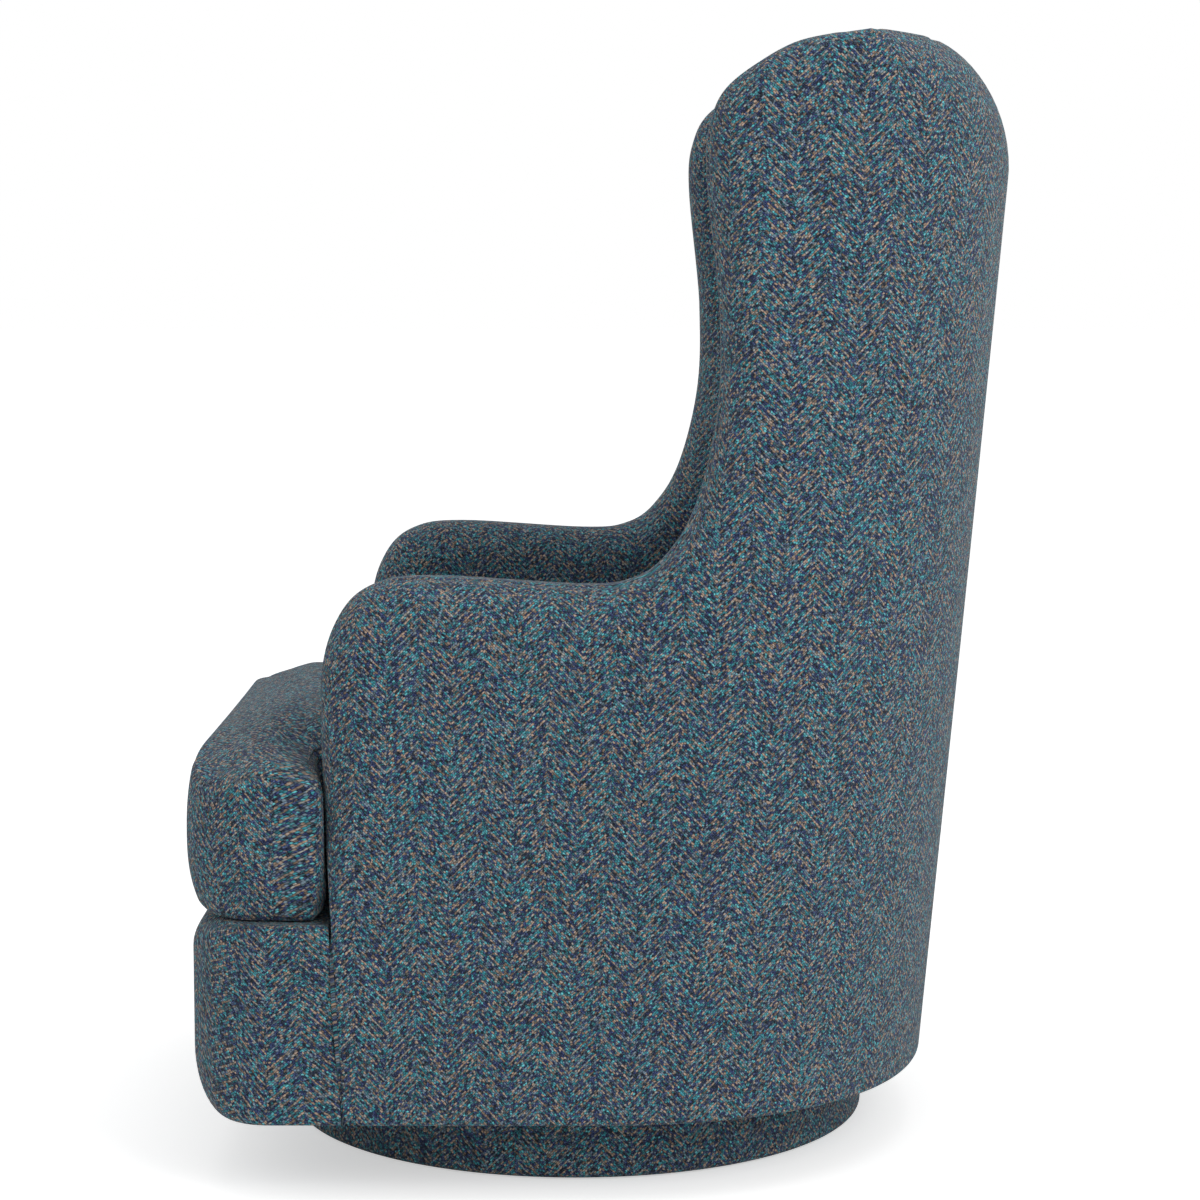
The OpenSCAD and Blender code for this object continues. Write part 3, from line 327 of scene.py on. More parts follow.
# Cloth coordinate round the barrel: plan arc from the arm's front line, as a share of the
# whole, times its length at the height of the seat, so the herringbone fans back with it.
# The table of arcs has a row for each height and a column for each label.
REF_Z, ARC_TOP, ARC_ROWS, ARC_COLUMNS = 0.41, 1.25, 51, 141
ARC_Z = np.linspace(0.0, ARC_TOP, ARC_ROWS)
ARC_S = np.linspace(0.0, TURN_LEN, ARC_COLUMNS)


def plan_arcs(radius):
    """Arc length from the turn to each label, at each height of the table."""
    s, z = np.meshgrid(ARC_S, ARC_Z)
    return run_along(placed(s, z, radius(s, z))[..., :2], 1)


def cloth_at(s, z, arcs):
    """Cloth coordinates of label s at height z, by bilinear look-up in the arc table."""
    fz = np.clip(z / (ARC_Z[1] - ARC_Z[0]), 0, len(ARC_Z) - 1.001)
    fs = np.clip(np.maximum(s, 0) / (ARC_S[1] - ARC_S[0]), 0, len(ARC_S) - 1.001)
    i, j = fz.astype(int), fs.astype(int)
    a, b = fz - i, fs - j
    arc = mix(mix(arcs[i, j], arcs[i, j + 1], b), mix(arcs[i + 1, j], arcs[i + 1, j + 1], b), a)
    front = ARM_FRONT + turn_y(z)
    whole = front + mix(arcs[i, -1], arcs[i + 1, -1], a)
    ref = ARM_FRONT + turn_y(REF_Z) + arcs[int(round(REF_Z / ARC_Z[1])), -1]
    past_end = np.maximum(s - TURN_LEN, 0)
    return stacked((front + np.minimum(s, 0) + arc + past_end) / whole * ref, z)


def inset(m):
    """Label and height of points m inside the edge, one row of m for each column."""
    return edge_s[:, None] + m * inward[:, None, 0], edge_z[:, None] + m * inward[:, None, 1]


def foot_labels(first, low_s):
    """Labels of the columns' feet, spread along the lower edge from low_s."""
    i = np.arange(EDGE_N)
    t = np.clip((i - first) / (SIDE_N - first), 0, 1)
    side = mix(low_s, CREST_FOOT, t ** FOOT_FAN)
    back = mix(CREST_FOOT, TURN_LEN, np.clip((i - SIDE_N) / BACK_CUTS, 0, 1))
    return np.where(i <= SIDE_N, side, back)


def down(a_s, a_z, b_s, b_z, t):
    """Labels and heights down the columns: the label runs ahead by a cubic, so the columns
    bend rearwards first and stay behind the wing's waist."""
    return mix(a_s, b_s, 1 - (1 - t) ** 3), mix(a_z, b_z, t)


def mirrored(cols):
    """A half grid of columns and its mirror image, as one grid from side to side."""
    return np.vstack([cols * (-1, 1, 1), cols[-2::-1]])


def put(name, data):
    """A new object with the data, in the scene."""
    made = bpy.data.objects.new(name, data)
    bpy.context.collection.objects.link(made)
    return made


def cloth_mesh(name, points, cloth, material, ring=False):
    """Closed skin over a grid whose columns are closed loops, with a fan on each end loop, or
    joined end to end as a ring, where cloth has one column more. Faces are turned outwards
    by the sign of the volume. cloth holds the cloth coordinates."""
    n, m = points.shape[:2]
    i, j = np.meshgrid(np.arange(n if ring else n - 1), np.arange(m), indexing="ij")
    k = (j + 1) % m
    faces, cloth_faces = (
        [stacked(i * m + j, i * m + k, after * m + k, after * m + j).reshape(-1, 4)]
        for after in ((i + 1) % n, i + 1))
    flat, uv = points.reshape(-1, 3), cloth.reshape(-1, 2)
    if not ring:
        loop, last = np.arange(m), (n - 1) * m
        after = (loop + 1) % m
        caps = [stacked(loop, n * m, after), stacked(last + after, n * m + 1, last + loop)]
        flat = np.vstack([flat, points[[0, -1]].mean(1)])
        uv = np.vstack([uv, cloth[[0, -1]].mean(1)])
        faces, cloth_faces = faces + caps, cloth_faces + caps
    tris = np.vstack([f[:, [0, q, q + 1]] for f in faces for q in range(1, f.shape[1] - 1)])
    a, b, c = flat[tris[:, 0]], flat[tris[:, 1]], flat[tris[:, 2]]
    if np.einsum("ij,ij->i", a, np.cross(b, c)).sum() < 0:
        faces, cloth_faces = [f[:, ::-1] for f in faces], [f[:, ::-1] for f in cloth_faces]
    mesh = bpy.data.meshes.new(name)
    mesh.from_pydata(flat.tolist(), [], [row for f in faces for row in f.tolist()])
    laid_uv = np.vstack([uv[f].reshape(-1, 2) for f in cloth_faces])
    mesh.uv_layers.new(name="cloth").data.foreach_set("uv", laid_uv.ravel())
    mesh.polygons.foreach_set("use_smooth", np.ones(len(mesh.polygons), bool))
    mesh.materials.append(material)
    mesh.update()
    return put(name, mesh)


outside_arcs = plan_arcs(out_r)


def turned_under(z):
    """Depth of the cloth where it rounds under the lower edge."""
    short = np.clip(UNDER_R - (z - SKIRT_Z), 0, UNDER_R)
    return UNDER_R - np.sqrt(np.maximum(UNDER_R ** 2 - short ** 2, 0))


def outer_roll(q, deep=0.0):
    """Points on the outer roll at angles q (a quarter turn is flush with the outside), their
    labels and heights, and their cloth coordinates, unrolled past the flush line."""
    r = edge_out[:, None]
    s, z = inset(r - (r - deep) * np.cos(q))
    s_c, z_c = inset(r - r * (math.pi / 2 - q))
    radius = out_r(s, z) - r + (r - deep) * np.sin(q)
    return placed(s, z, radius), cloth_at(s_c, z_c, outside_arcs)


def outside_shell():
    """Outside cover as loops: over the roll from the seam, down the outside with the lower
    edge turned under, and back up a plain lining."""
    roll = np.linspace(0, 1, ROLL_ROWS + 1)
    q = mix(seam_q[:, None], math.pi / 2, roll)
    sunk = SEAM_GROOVE * np.exp(-((q - seam_q[:, None]) * edge_out[:, None] / SEAM_WIDTH) ** 2)
    rolled, rolled_uv = outer_roll(q, sunk)
    a_s, a_z = inset(edge_out[:, None])
    b_s = foot_labels(0, edge_s[0] + BUTT_R)[:, None]
    last = np.clip(1 - UNDER_R / np.maximum(a_z - SKIRT_Z, 1e-6), 0, 1)
    t = np.hstack([last * np.linspace(0, 1, MAIN_ROWS + 1)[1:],
                   mix(last, 1, np.sin(np.linspace(0, math.pi / 2, UNDER_ROWS + 1))[1:])])
    s, z = down(a_s, a_z, b_s, SKIRT_Z, t)
    rows = placed(s, z, out_r(s, z) - turned_under(z))
    up_s, up_z = down(a_s, a_z, b_s, SKIRT_Z, np.linspace(1, 0, LINING_ROWS + 1))
    lining = placed(up_s, up_z, out_r(up_s, up_z) - SKIN_T)
    thin = np.minimum(SKIN_T, edge_out[:, None] - THINNEST)
    q_back = mix(math.pi / 2, seam_q[:, None], np.linspace(0, 1, LINING_ROLL_ROWS + 1)[1:])
    inner, inner_uv = outer_roll(q_back, thin)
    return mirrored(np.hstack([rolled, rows, lining, inner])), np.hstack(
        [rolled_uv, cloth_at(s, z, outside_arcs), cloth_at(up_s, up_z, outside_arcs), inner_uv])


def mirrored_cloth(uv):
    """Cloth coordinates of a mirrored grid: the far half's run on past the middle."""
    middle = 2 * uv[-1:, :, :1]
    far = np.concatenate([middle - uv[-2::-1, :, :1], uv[-2::-1, :, 1:]], -1)
    return np.vstack([uv, far])


shell_points, shell_cloth = outside_shell()
shell = cloth_mesh("barrel_outside_cover", shell_points, mirrored_cloth(shell_cloth), tweed)
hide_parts("outside_cover")
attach(shell, "chair")


# Inside pads of the arms and wings, and of the back: foam under the same cloth, pulled
# tight from the seam over the crest and down behind the cushion. Where an arm pad meets
# the back pad, both covers are pulled in and tacked, which leaves a deep soft valley.
PULL_DEPTH, PULL_WIDTH = 0.009, 0.014
PAD_FIRST = STATION_CUTS
PAD_ROWS, INNER_ROWS, CREST_ROWS, OUTER_ROWS = 36, 14, 3, 7
CROWN_FADE_Z = 1.0
LINING_INSET, LINING_DEEP, PULL_ROWS = 0.031, 0.030, 4
inside_arcs = plan_arcs(in_r)


def inside_pad(first, last):
    """Pad loops for the columns first to last: from the seam over the outer roll, the flat
    crest and the inner roll, down the inside and back up a plain lining. The back's arch
    runs out level towards the inner roll."""
    pick = slice(first, last + 1)
    r_out, r_in = edge_out[:, None], edge_in[:, None]
    crest_flat = out_r(*inset(0.0)) - r_out - in_r(*inset(0.0)) - r_in
    q_out = mix(seam_q[:, None], 0, np.linspace(0, 1, OUTER_ROWS + 1))
    sunk = SEAM_GROOVE * np.exp(-((seam_q[:, None] - q_out) * r_out / SEAM_WIDTH) ** 2)
    crest = outer_roll(q_out, sunk)[0]
    across = np.linspace(0, 1, CREST_ROWS + 1)[1:-1]
    s, z = inset(0.0 * across)
    flat = placed(s, z, mix(out_r(s, z) - r_out, in_r(s, z) + r_in, across))
    q_in = np.linspace(0, math.pi / 2, INNER_ROWS + 1)
    s_in, z_in = inset(r_in - r_in * np.cos(q_in))
    inner = placed(s_in, z_in, in_r(s_in, z_in) + r_in - r_in * np.sin(q_in))
    laid = np.hstack([r_in * math.pi / 2 + crest_flat + q_out * r_out,
                      r_in * math.pi / 2 + crest_flat * (1 - across),
                      r_in * (math.pi / 2 - q_in)])
    s_c, z_c = inset(r_in - laid)
    a_s, a_z = inset(r_in)
    b_s = foot_labels(PAD_FIRST, edge_s[PAD_FIRST] + BUTT_R)[:, None]
    s_d, z_d = down(a_s, a_z, b_s, PAD_FOOT_Z, np.linspace(0, 1, PAD_ROWS + 1)[1:])
    face = placed(s_d, z_d, in_r(s_d, z_d))
    for rows, share in ((flat, 0.5 * across), (inner, 0.5 + 0.5 * np.sin(q_in)), (face, 1)):
        near_top = np.clip((rows[..., 2] - CROWN_FADE_Z) / (SIDE_CREST_Z - CROWN_FADE_Z), 0, 1)
        rows[..., 2] -= edge_crown[:, None] * share * near_top ** 2
    s_l, z_l = down(*inset(LINING_INSET), b_s, PAD_FOOT_Z, np.linspace(1, 0, LINING_ROWS + 1))
    lining = placed(s_l, z_l, in_r(s_l, z_l) + edge_pad[:, None])
    top_in = outer_roll(seam_q[:, None], np.minimum(LINING_DEEP, r_out - THINNEST))[0]
    uv = cloth_at(np.hstack([s_c, s_d, s_l]), np.hstack([z_c, z_d, z_l]), inside_arcs)
    points = np.hstack([crest, flat, inner, face, lining, top_in])
    uv = np.hstack([uv, uv[:, :1]])
    return points[pick], uv[pick], OUTER_ROWS + CREST_ROWS + INNER_ROWS + PAD_ROWS + 1


def pulled_in(points, shown, end):
    """The shown rows sink towards the wall's middle near the end column, by a bell curve of
    their distance from it, as the tacked joint pulls the cloth."""
    joint = points[end][None, :shown]
    gap = np.linalg.norm(points[:, :shown] - joint, axis=-1)
    normal = unit(np.cross(*np.gradient(points[:, :shown], axis=(0, 1))))
    middle = points[:, -LINING_ROWS // 2][:, None]
    sign = np.sign(np.einsum("ijk,ijk->ij", normal, middle - points[:, :shown]))[..., None]
    fade = np.clip(np.arange(shown) / PULL_ROWS, 0, 1)[None, :, None]
    depth = (PULL_DEPTH * np.exp(-(gap / PULL_WIDTH) ** 2))[..., None]
    points[:, :shown] += normal * sign * depth * fade
    return points


arm_points, arm_cloth, arm_shown = inside_pad(PAD_FIRST, SIDE_N)
arm_points = pulled_in(arm_points, arm_shown, -1)
for side, turn_x in (("left", 1), ("right", -1)):
    pad = cloth_mesh(f"inside_arm_pad_{side}", arm_points * (turn_x, 1, 1), arm_cloth, tweed)
    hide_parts(f"inside_arm_{side}")
    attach(pad, "chair")

back_points, back_cloth, back_shown = inside_pad(SIDE_N, EDGE_N - 1)
back_points = pulled_in(back_points, back_shown, 0)
back_cloth[..., 0] = back_cloth[-1, :, 0] - run_along(back_points[::-1])[::-1]
back_pad = cloth_mesh("inside_back_pad", mirrored(back_points), mirrored_cloth(back_cloth), tweed)
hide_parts("inside_back")
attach(back_pad, "chair")


# Front rail: a padded board across the front under the cushion, whose cloth is pulled
# round a generous roll at the lower edge and mitred round the two upright corners.
RAIL_FRONT, RAIL_HALF_W, RAIL_TOP = -0.4135, 0.380, 0.2817
RAIL_LOW_H, RAIL_LOW_IN, RAIL_TOP_R, RAIL_CORNER = 0.068, 0.032, 0.040, 0.080
RAIL_SIDE_LOW, RAIL_SIDE_LOW_H, RAIL_SIDE_TOP = 0.006, 0.008, 0.010
RAIL_BUTT, FOOT_BACK, FOOT_SLANT, RAIL_CLOTH_START = 0.0003, 0.020, 0.5, 0.0132
SIDE_CUTS, CORNER_CUTS, FRONT_CUTS, RAIL_ROLL_CUTS, RAIL_WALL_ROWS = 9, 18, 60, 12, 16
SIDE_DROOP, DROOP_FROM, DROOP_RUN, DROOP_FOOT = 0.007, 0.290, 0.070, 0.200


def rail_rear_y(z):
    """Rear edge of the rail, which follows the arm's slanting front edge."""
    up = (z - SKIRT_Z) / (PAD_FOOT_Z - SKIRT_Z)
    return -ARM_FRONT - RAIL_BUTT + FOOT_BACK * (1 - FOOT_SLANT * up)


def side_droop(x):
    """How far the rail's top edge, and the cushion's ear on it, sink towards the side."""
    return SIDE_DROOP * ease((np.abs(x) - DROOP_FROM) / DROOP_RUN)


def front_rail():
    """Loops up the rail at each place of its plan: side, rounded corner, front, corner and
    side. Each loop rolls in at the bottom and top by quarter ellipses, wide at the front."""
    corner_x, corner_y = RAIL_HALF_W - RAIL_CORNER, RAIL_FRONT + RAIL_CORNER
    turn = np.linspace(0, math.pi / 2, CORNER_CUTS + 1)
    side_y = np.linspace(rail_rear_y(RAIL_TOP), corner_y, SIDE_CUTS + 1)[:-1]
    front_x = np.linspace(-corner_x, corner_x, FRONT_CUTS + 1)[1:-1]
    half = np.vstack([stacked(-RAIL_HALF_W, side_y),
                      stacked(-corner_x - RAIL_CORNER * np.cos(turn),
                              corner_y - RAIL_CORNER * np.sin(turn))])
    normal = np.vstack([[(-1.0, 0.0)] * SIDE_CUTS, stacked(-np.cos(turn), -np.sin(turn))])
    plan = np.vstack([half, stacked(front_x, RAIL_FRONT), half[::-1] * (-1, 1)])
    out = np.vstack([normal, [(0.0, -1.0)] * len(front_x), normal[::-1] * (-1, 1)])
    share = np.abs(out[:, 1])[:, None] ** 2
    low = np.linspace(0, math.pi / 2, RAIL_ROLL_CUTS + 1)
    low_in, low_h = mix(RAIL_SIDE_LOW, RAIL_LOW_IN, share), mix(RAIL_SIDE_LOW_H, RAIL_LOW_H, share)
    top_r = mix(RAIL_SIDE_TOP, RAIL_TOP_R, share)
    less = np.hstack([low_in * (1 - np.sin(low)), np.zeros((len(plan), RAIL_WALL_ROWS)),
                      top_r * (1 - np.cos(low))])
    z_low = SKIRT_Z + low_h * (1 - np.cos(low))
    z_mid = mix(SKIRT_Z + low_h, RAIL_TOP - top_r, np.linspace(0, 1, RAIL_WALL_ROWS + 2)[1:-1])
    z = np.hstack([z_low, z_mid, RAIL_TOP - top_r * (1 - np.sin(low))])
    xy = plan[:, None] - less[..., None] * out[:, None]
    side_share = np.clip((xy[..., 1] - corner_y) / (rail_rear_y(RAIL_TOP) - corner_y), 0, 1)
    y = np.where(xy[..., 1] > corner_y, mix(corner_y, rail_rear_y(z), side_share), xy[..., 1])
    x = xy[..., 0]
    points = np.hstack([stacked(x[:, :1], rail_rear_y(SKIRT_Z), SKIRT_Z), stacked(x, y, z),
                        stacked(x[:, -1:], rail_rear_y(RAIL_TOP), RAIL_TOP)])
    along, run = run_along(plan)[:, None], run_along(points, 1)
    level = run - run[:, RAIL_ROLL_CUTS + 2, None] + RAIL_TOP / 2
    upper = np.clip((points[..., 2] - DROOP_FOOT) / (RAIL_TOP - DROOP_FOOT), 0, 1)
    points[..., 2] -= side_droop(points[..., 0]) * upper
    return points, stacked(along + RAIL_CLOTH_START, level)


rail_points, rail_cloth = front_rail()
rail = cloth_mesh("front_rail_cover_roll", rail_points, rail_cloth, tweed)
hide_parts("front_rail_cover")
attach(rail, "chair")


# Seat cushion: a loose T-shaped box cushion, foam wrapped in wadding, in a sewn cover of
# top panel, boxed border and underside. Its ears reach round the fronts of the arms, and
# the filling crowns the top and bellies the border between its two welt-less seams.
CUSHION_Z, SEAM_Z, CUSHION_FRONT = 0.282, 0.430, -0.4195
EAR_HALF_W, EAR_D, EAR_FRONT_R, EAR_REAR_R, NOTCH_R = 0.372, 0.132, 0.080, 0.020, 0.008
CUSHION_GAP = 0.006
CUSHION_SIDE_X = CHAIR_W / 2 - ARM_T - CUSHION_GAP
CROWN, CROWN_RUN, CROWN_HALF_W = 0.025, 0.045, 0.385
BULGE, BULGE_LOW, UNDER_IN, DRAW_IN, SEAM_LIFT = 0.007, 0.012, 0.010, 0.004, 0.002
EAR_SAG, FRONT_SAG, SIDE_SAG, EDGE_RISE, RISE_RUN = 0.018, 0.020, 0.005, 0.008, 0.010
PIVOT_SHARE, FRONT_BAND, MIDDLE_OUT, TOP_OUT = 0.7, 0.004, 0.02, 0.985
RING_N, FINE, BORDER_ROWS, TOP_ROWS, BOTTOM_ROWS = 440, 4, 34, 46, 8
REAR_POINTS, FRONT_POINTS, EAR_POINTS, NOTCH_POINTS = 60, 24, 20, 10
STITCH, STITCH_W, SWELL = 0.0022, 0.003, 0.006
VOXEL, PRESSURE, QUALITY, FRAMES = 0.006, 4.0, 4, 20


def arc_points(cx, cy, r, start, end, n):
    """Points on an arc about a centre, from one angle in degrees to another."""
    a = np.radians(np.linspace(start, end, n))
    return stacked(cx + r * np.cos(a), cy + r * np.sin(a))


def read_off(at, run, path):
    """Points of a path at some lengths of its run, on straight lines between its points."""
    return stacked(*(np.interp(at, run, column) for column in path.T))


def inwards_of(outline, step):
    """Unit vectors into an outline, square to the chord between its points a step away."""
    chord = np.roll(outline, -step, 0) - np.roll(outline, step, 0)
    return unit(stacked(-chord[:, 1], chord[:, 0]))


def at_height(xy, z):
    """Points of a plan at height z."""
    return np.insert(xy, 2, z, -1)


def cushion_outline(less=0.0):
    """The T-shaped plan, moved in by less: half of it from front middle round ear and notch
    to the rear middle, mirrored, and then spaced evenly by its length."""
    front, ear_rear = CUSHION_FRONT + less, CUSHION_FRONT + EAR_D - less
    front_r, rear_r, notch_r = EAR_FRONT_R - less, max(EAR_REAR_R - less, NOTCH_R), NOTCH_R + less
    ear_x, back_s = EAR_HALF_W - less, np.linspace(0, TURN_LEN, REAR_POINTS)
    rear = placed(back_s, CUSHION_Z, in_r(back_s, CUSHION_Z) - CUSHION_GAP - less)[:, :2]
    half = np.vstack([
        [[0, front]],
        arc_points(ear_x - front_r, front + front_r, front_r, -90, 0, FRONT_POINTS),
        arc_points(ear_x - rear_r, ear_rear - rear_r, rear_r, 0, 90, EAR_POINTS),
        arc_points(CUSHION_SIDE_X - less + notch_r, ear_rear + notch_r, notch_r, 270, 180,
                   NOTCH_POINTS),
        rear])
    ring = np.vstack([half, half[-2:0:-1] * (-1, 1), half[:1]])
    run = run_along(ring)
    at = np.linspace(0, run[-1], RING_N + 1)[:-1]
    return read_off(at, run, ring), at


ring, ring_at = cushion_outline()
ring_in = inwards_of(ring, 2)
pivot = np.array([0.0, CUSHION_FRONT + PIVOT_SHARE * EAR_D])
at_front = np.clip(1 - (ring[:, 1] - CUSHION_FRONT) / FRONT_BAND, 0, 1)
pull = at_front * DRAW_IN * np.maximum(0, 1 - (ring[:, 0] / (EAR_HALF_W - EAR_FRONT_R)) ** 2)


def cushion_ring(less):
    """The outline moved in by less, with the front pulled in between its corners."""
    moved = ring + less * ring_in
    return stacked(moved[:, 0], moved[:, 1] + pull)


# The ears' rear edges swell into the hollow beside the arms' rolled fronts, more with height.
ARM_CLEAR, FLUSH_X, HOOK_X, HOOK_RUN = 0.0015, 0.372, 0.315, 0.03
HOOK_FROM, HOOK_EASE, HOOK_TO = 0.040, 0.030, 0.001
ARM_EDGE_LOW, ARM_EDGE_HIGH, ARM_EDGE_RISE, ARM_ROLL = -0.271, -0.281, 0.130, 0.045
SIDE_SAG_X, SIDE_SAG_RUN = 0.32, 0.05
ear_rear_y = CUSHION_FRONT + EAR_D
ring_x = np.abs(ring[:, 0])
at_ear_rear = (ease((ring[:, 1] - ear_rear_y + HOOK_FROM) / HOOK_EASE)
               * (ring[:, 1] < ear_rear_y + HOOK_TO))


def arm_front_y(x, z):
    """The rounded front of the arm's outside: its edge line less a roll that grows with
    height from the low corner's radius to the arm's."""
    up = np.clip((z - PAD_FOOT_Z) / ARM_EDGE_RISE, 0, 1)
    edge_y, roll = mix(ARM_EDGE_LOW, ARM_EDGE_HIGH, up), mix(BUTT_R, ARM_ROLL, up)
    out = np.clip(np.abs(x) - (CHAIR_W / 2 - roll), 0, None)
    return edge_y + roll - np.sqrt(np.maximum(roll ** 2 - out ** 2, 0)) - ARM_CLEAR


def hook(z):
    """How far the ear's rear edge stands behind its straight line at height z."""
    room = arm_front_y(np.minimum(ring_x, FLUSH_X), z) - ear_rear_y
    return np.maximum(0, room) * ease((ring_x - HOOK_X) / HOOK_RUN) * at_ear_rear


# The seam sags at the side, and by bell curves at the front corner and the ear's rear one:
# depth, then place and width of the bell across the chair, then along it.
SAGS = ((FRONT_SAG, 0.347, 0.055, CUSHION_FRONT + 0.02, 0.050),
        (EAR_SAG, EAR_HALF_W, 0.030, ear_rear_y, 0.035))
corner_sag = SIDE_SAG * ease((ring_x - SIDE_SAG_X) / SIDE_SAG_RUN)
for depth, x, wide, y, long in SAGS:
    corner_sag += depth * np.exp(-((ring_x - x) / wide) ** 2 - ((ring[:, 1] - y) / long) ** 2)


def edge_gap(xy):
    """Distance of each point from the outline, measured to closely spaced points on it."""
    closed = np.vstack([ring, ring[:1]])
    fine = read_off(np.arange(FINE * RING_N) / FINE, np.arange(RING_N + 1), closed)
    return np.sqrt(((xy[:, None] - fine[None]) ** 2).sum(-1).min(1))


def cushion_grid():
    """Rows from the middle of the underside out to the lower seam, up the bellied border to
    the upper seam, and over the top to its middle, with cloth coordinates. The top rises
    from its edge by a soft exponential of the distance, most in the middle of its width."""
    rows, cloth = [], []
    for k in np.linspace(MIDDLE_OUT, 1, BOTTOM_ROWS):
        edge = cushion_ring(BULGE_LOW + UNDER_IN * (1 - k ** 8))
        xy = mix(pivot, edge, k)
        rows.append(at_height(xy, CUSHION_Z + SEAM_LIFT * k ** 12 - side_droop(xy[:, 0])))
        cloth.append(xy)
    for k in 0.5 - 0.5 * np.cos(np.linspace(0, math.pi, BORDER_ROWS)):
        xy = cushion_ring((BULGE if k > 0.5 else BULGE_LOW) * np.abs(2 * k - 1) ** 2.5)
        z = mix(CUSHION_Z + SEAM_LIFT - side_droop(xy[:, 0]), SEAM_Z - corner_sag, k)
        xy[:, 1] += hook(z)
        rows.append(at_height(xy, z))
        cloth.append(stacked(ring_at, z))
    edge = cushion_ring(BULGE)
    spread = edge - pivot
    for k in 1 - np.linspace(0, TOP_OUT, TOP_ROWS + 1)[1:] ** 1.5:
        xy = pivot + k * spread
        gap = np.maximum(edge_gap(xy) - BULGE, 0)
        across = np.maximum(0, 1 - (xy[:, 0] / CROWN_HALF_W) ** 2)
        rise = (CROWN * (1 - np.exp(-(gap / CROWN_RUN) ** 1.6)) * across
                + EDGE_RISE * (1 - np.exp(-gap / RISE_RUN)))
        fade = k ** 3
        z = SEAM_Z - corner_sag * fade + rise
        rows.append(stacked(xy[:, 0], xy[:, 1] + fade * hook(z), z))
        cloth.append(xy)
    return np.array(rows), np.array(cloth)


def places(mesh):
    """Places of a mesh's vertices, one to a row."""
    flat = np.zeros(len(mesh.vertices) * 3)
    mesh.vertices.foreach_get("co", flat)
    return flat.reshape(-1, 3)


def evaluated(piece):
    """The piece as its modifiers leave it."""
    return piece.evaluated_get(bpy.context.evaluated_depsgraph_get())


def blown_up(piece):
    """The piece's vertices after its filling has pushed the cloth out: a remeshed copy is
    simulated as pressed cloth, its travel is capped, and the piece is wrapped onto it."""
    scene = bpy.context.scene
    dummy = put("filling_dummy", piece.data.copy())
    remesh = dummy.modifiers.new("voxels", "REMESH")
    remesh.mode, remesh.voxel_size = "VOXEL", VOXEL
    even = bpy.data.meshes.new_from_object(evaluated(dummy))
    dummy.modifiers.clear()
    dummy.data = even
    rest = places(even)
    cloth = dummy.modifiers.new("filling", "CLOTH")
    cloth.settings.use_pressure = True
    cloth.settings.uniform_pressure_force = PRESSURE
    cloth.settings.effector_weights.gravity = 0
    cloth.settings.quality = QUALITY
    cloth.point_cache.frame_start, cloth.point_cache.frame_end = 1, FRAMES
    for frame_no in range(1, FRAMES + 1):
        scene.frame_set(frame_no)
    travel = places(evaluated(dummy).to_mesh()) - rest
    far = np.linalg.norm(travel, axis=1, keepdims=True)
    travel *= np.minimum(1, SWELL * np.tanh(far / SWELL) / np.maximum(far, 1e-9))
    dummy.modifiers.clear()
    dummy.data.vertices.foreach_set("co", (rest + travel).ravel())
    scene.frame_set(1)
    wrap = piece.modifiers.new("wrap", "SHRINKWRAP")
    wrap.target, wrap.wrap_method = dummy, "NEAREST_SURFACEPOINT"
    result = places(evaluated(piece).to_mesh())
    piece.modifiers.clear()
    bpy.data.objects.remove(dummy)
    return result


cushion_rows, cushion_cloth = cushion_grid()
cushion = cloth_mesh("seat_cushion_cover", cushion_rows, cushion_cloth, tweed)
puffed = blown_up(cushion)[:-2].reshape(cushion_rows.shape)
run_on = np.hstack([cushion_rows[:, -1:], cushion_rows, cushion_rows[:, :1]])
round_it = (run_on[:, 2:] - run_on[:, :-2]) / 2
normal = unit(np.cross(np.gradient(cushion_rows, axis=0), round_it))
normal *= np.sign(normal[-10:, :, 2].mean())
swell = np.clip(((puffed - cushion_rows) * normal).sum(-1, keepdims=True), 0, SWELL)
cushion_rows += swell * normal
x, y, z = (cushion_rows[..., k] for k in range(3))
z[:] = np.maximum(z, CUSHION_Z - side_droop(x))
near_arm = (np.abs(x) > CUSHION_SIDE_X + CUSHION_GAP) & (z > PAD_FOOT_Z)
y[:] = np.where(near_arm, np.minimum(y, arm_front_y(x, z)), y)
run = run_along(cushion_rows)
for seam_row in (BOTTOM_ROWS, BOTTOM_ROWS + BORDER_ROWS - 1):
    near_seam = np.exp(-((run - run[seam_row]) / STITCH_W) ** 2)[..., None]
    cushion_rows += at_height(ring_in, 0) * STITCH * near_seam
bpy.data.objects.remove(cushion)
cushion = cloth_mesh("seat_cushion_cover", cushion_rows, cushion_cloth, tweed)
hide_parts("cushion_cover")
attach(cushion, "cushion")


# Plinth cover: a strip of the same cloth stretched round the bent hoop and turned in
# under its rounded lower edge, where the glides hold it off the floor.
AXIS_Y = -0.033
PLINTH_R, PLINTH_H, PLINTH_EDGE, PLINTH_FOOT, HOOP_IN = 0.310, 0.068, 0.009, 0.0015, 0.286
PLINTH_COLS, PLINTH_WALL_ROWS, PLINTH_ROLL_ROWS, PLINTH_CLOTH = 240, 12, 8, 0.003


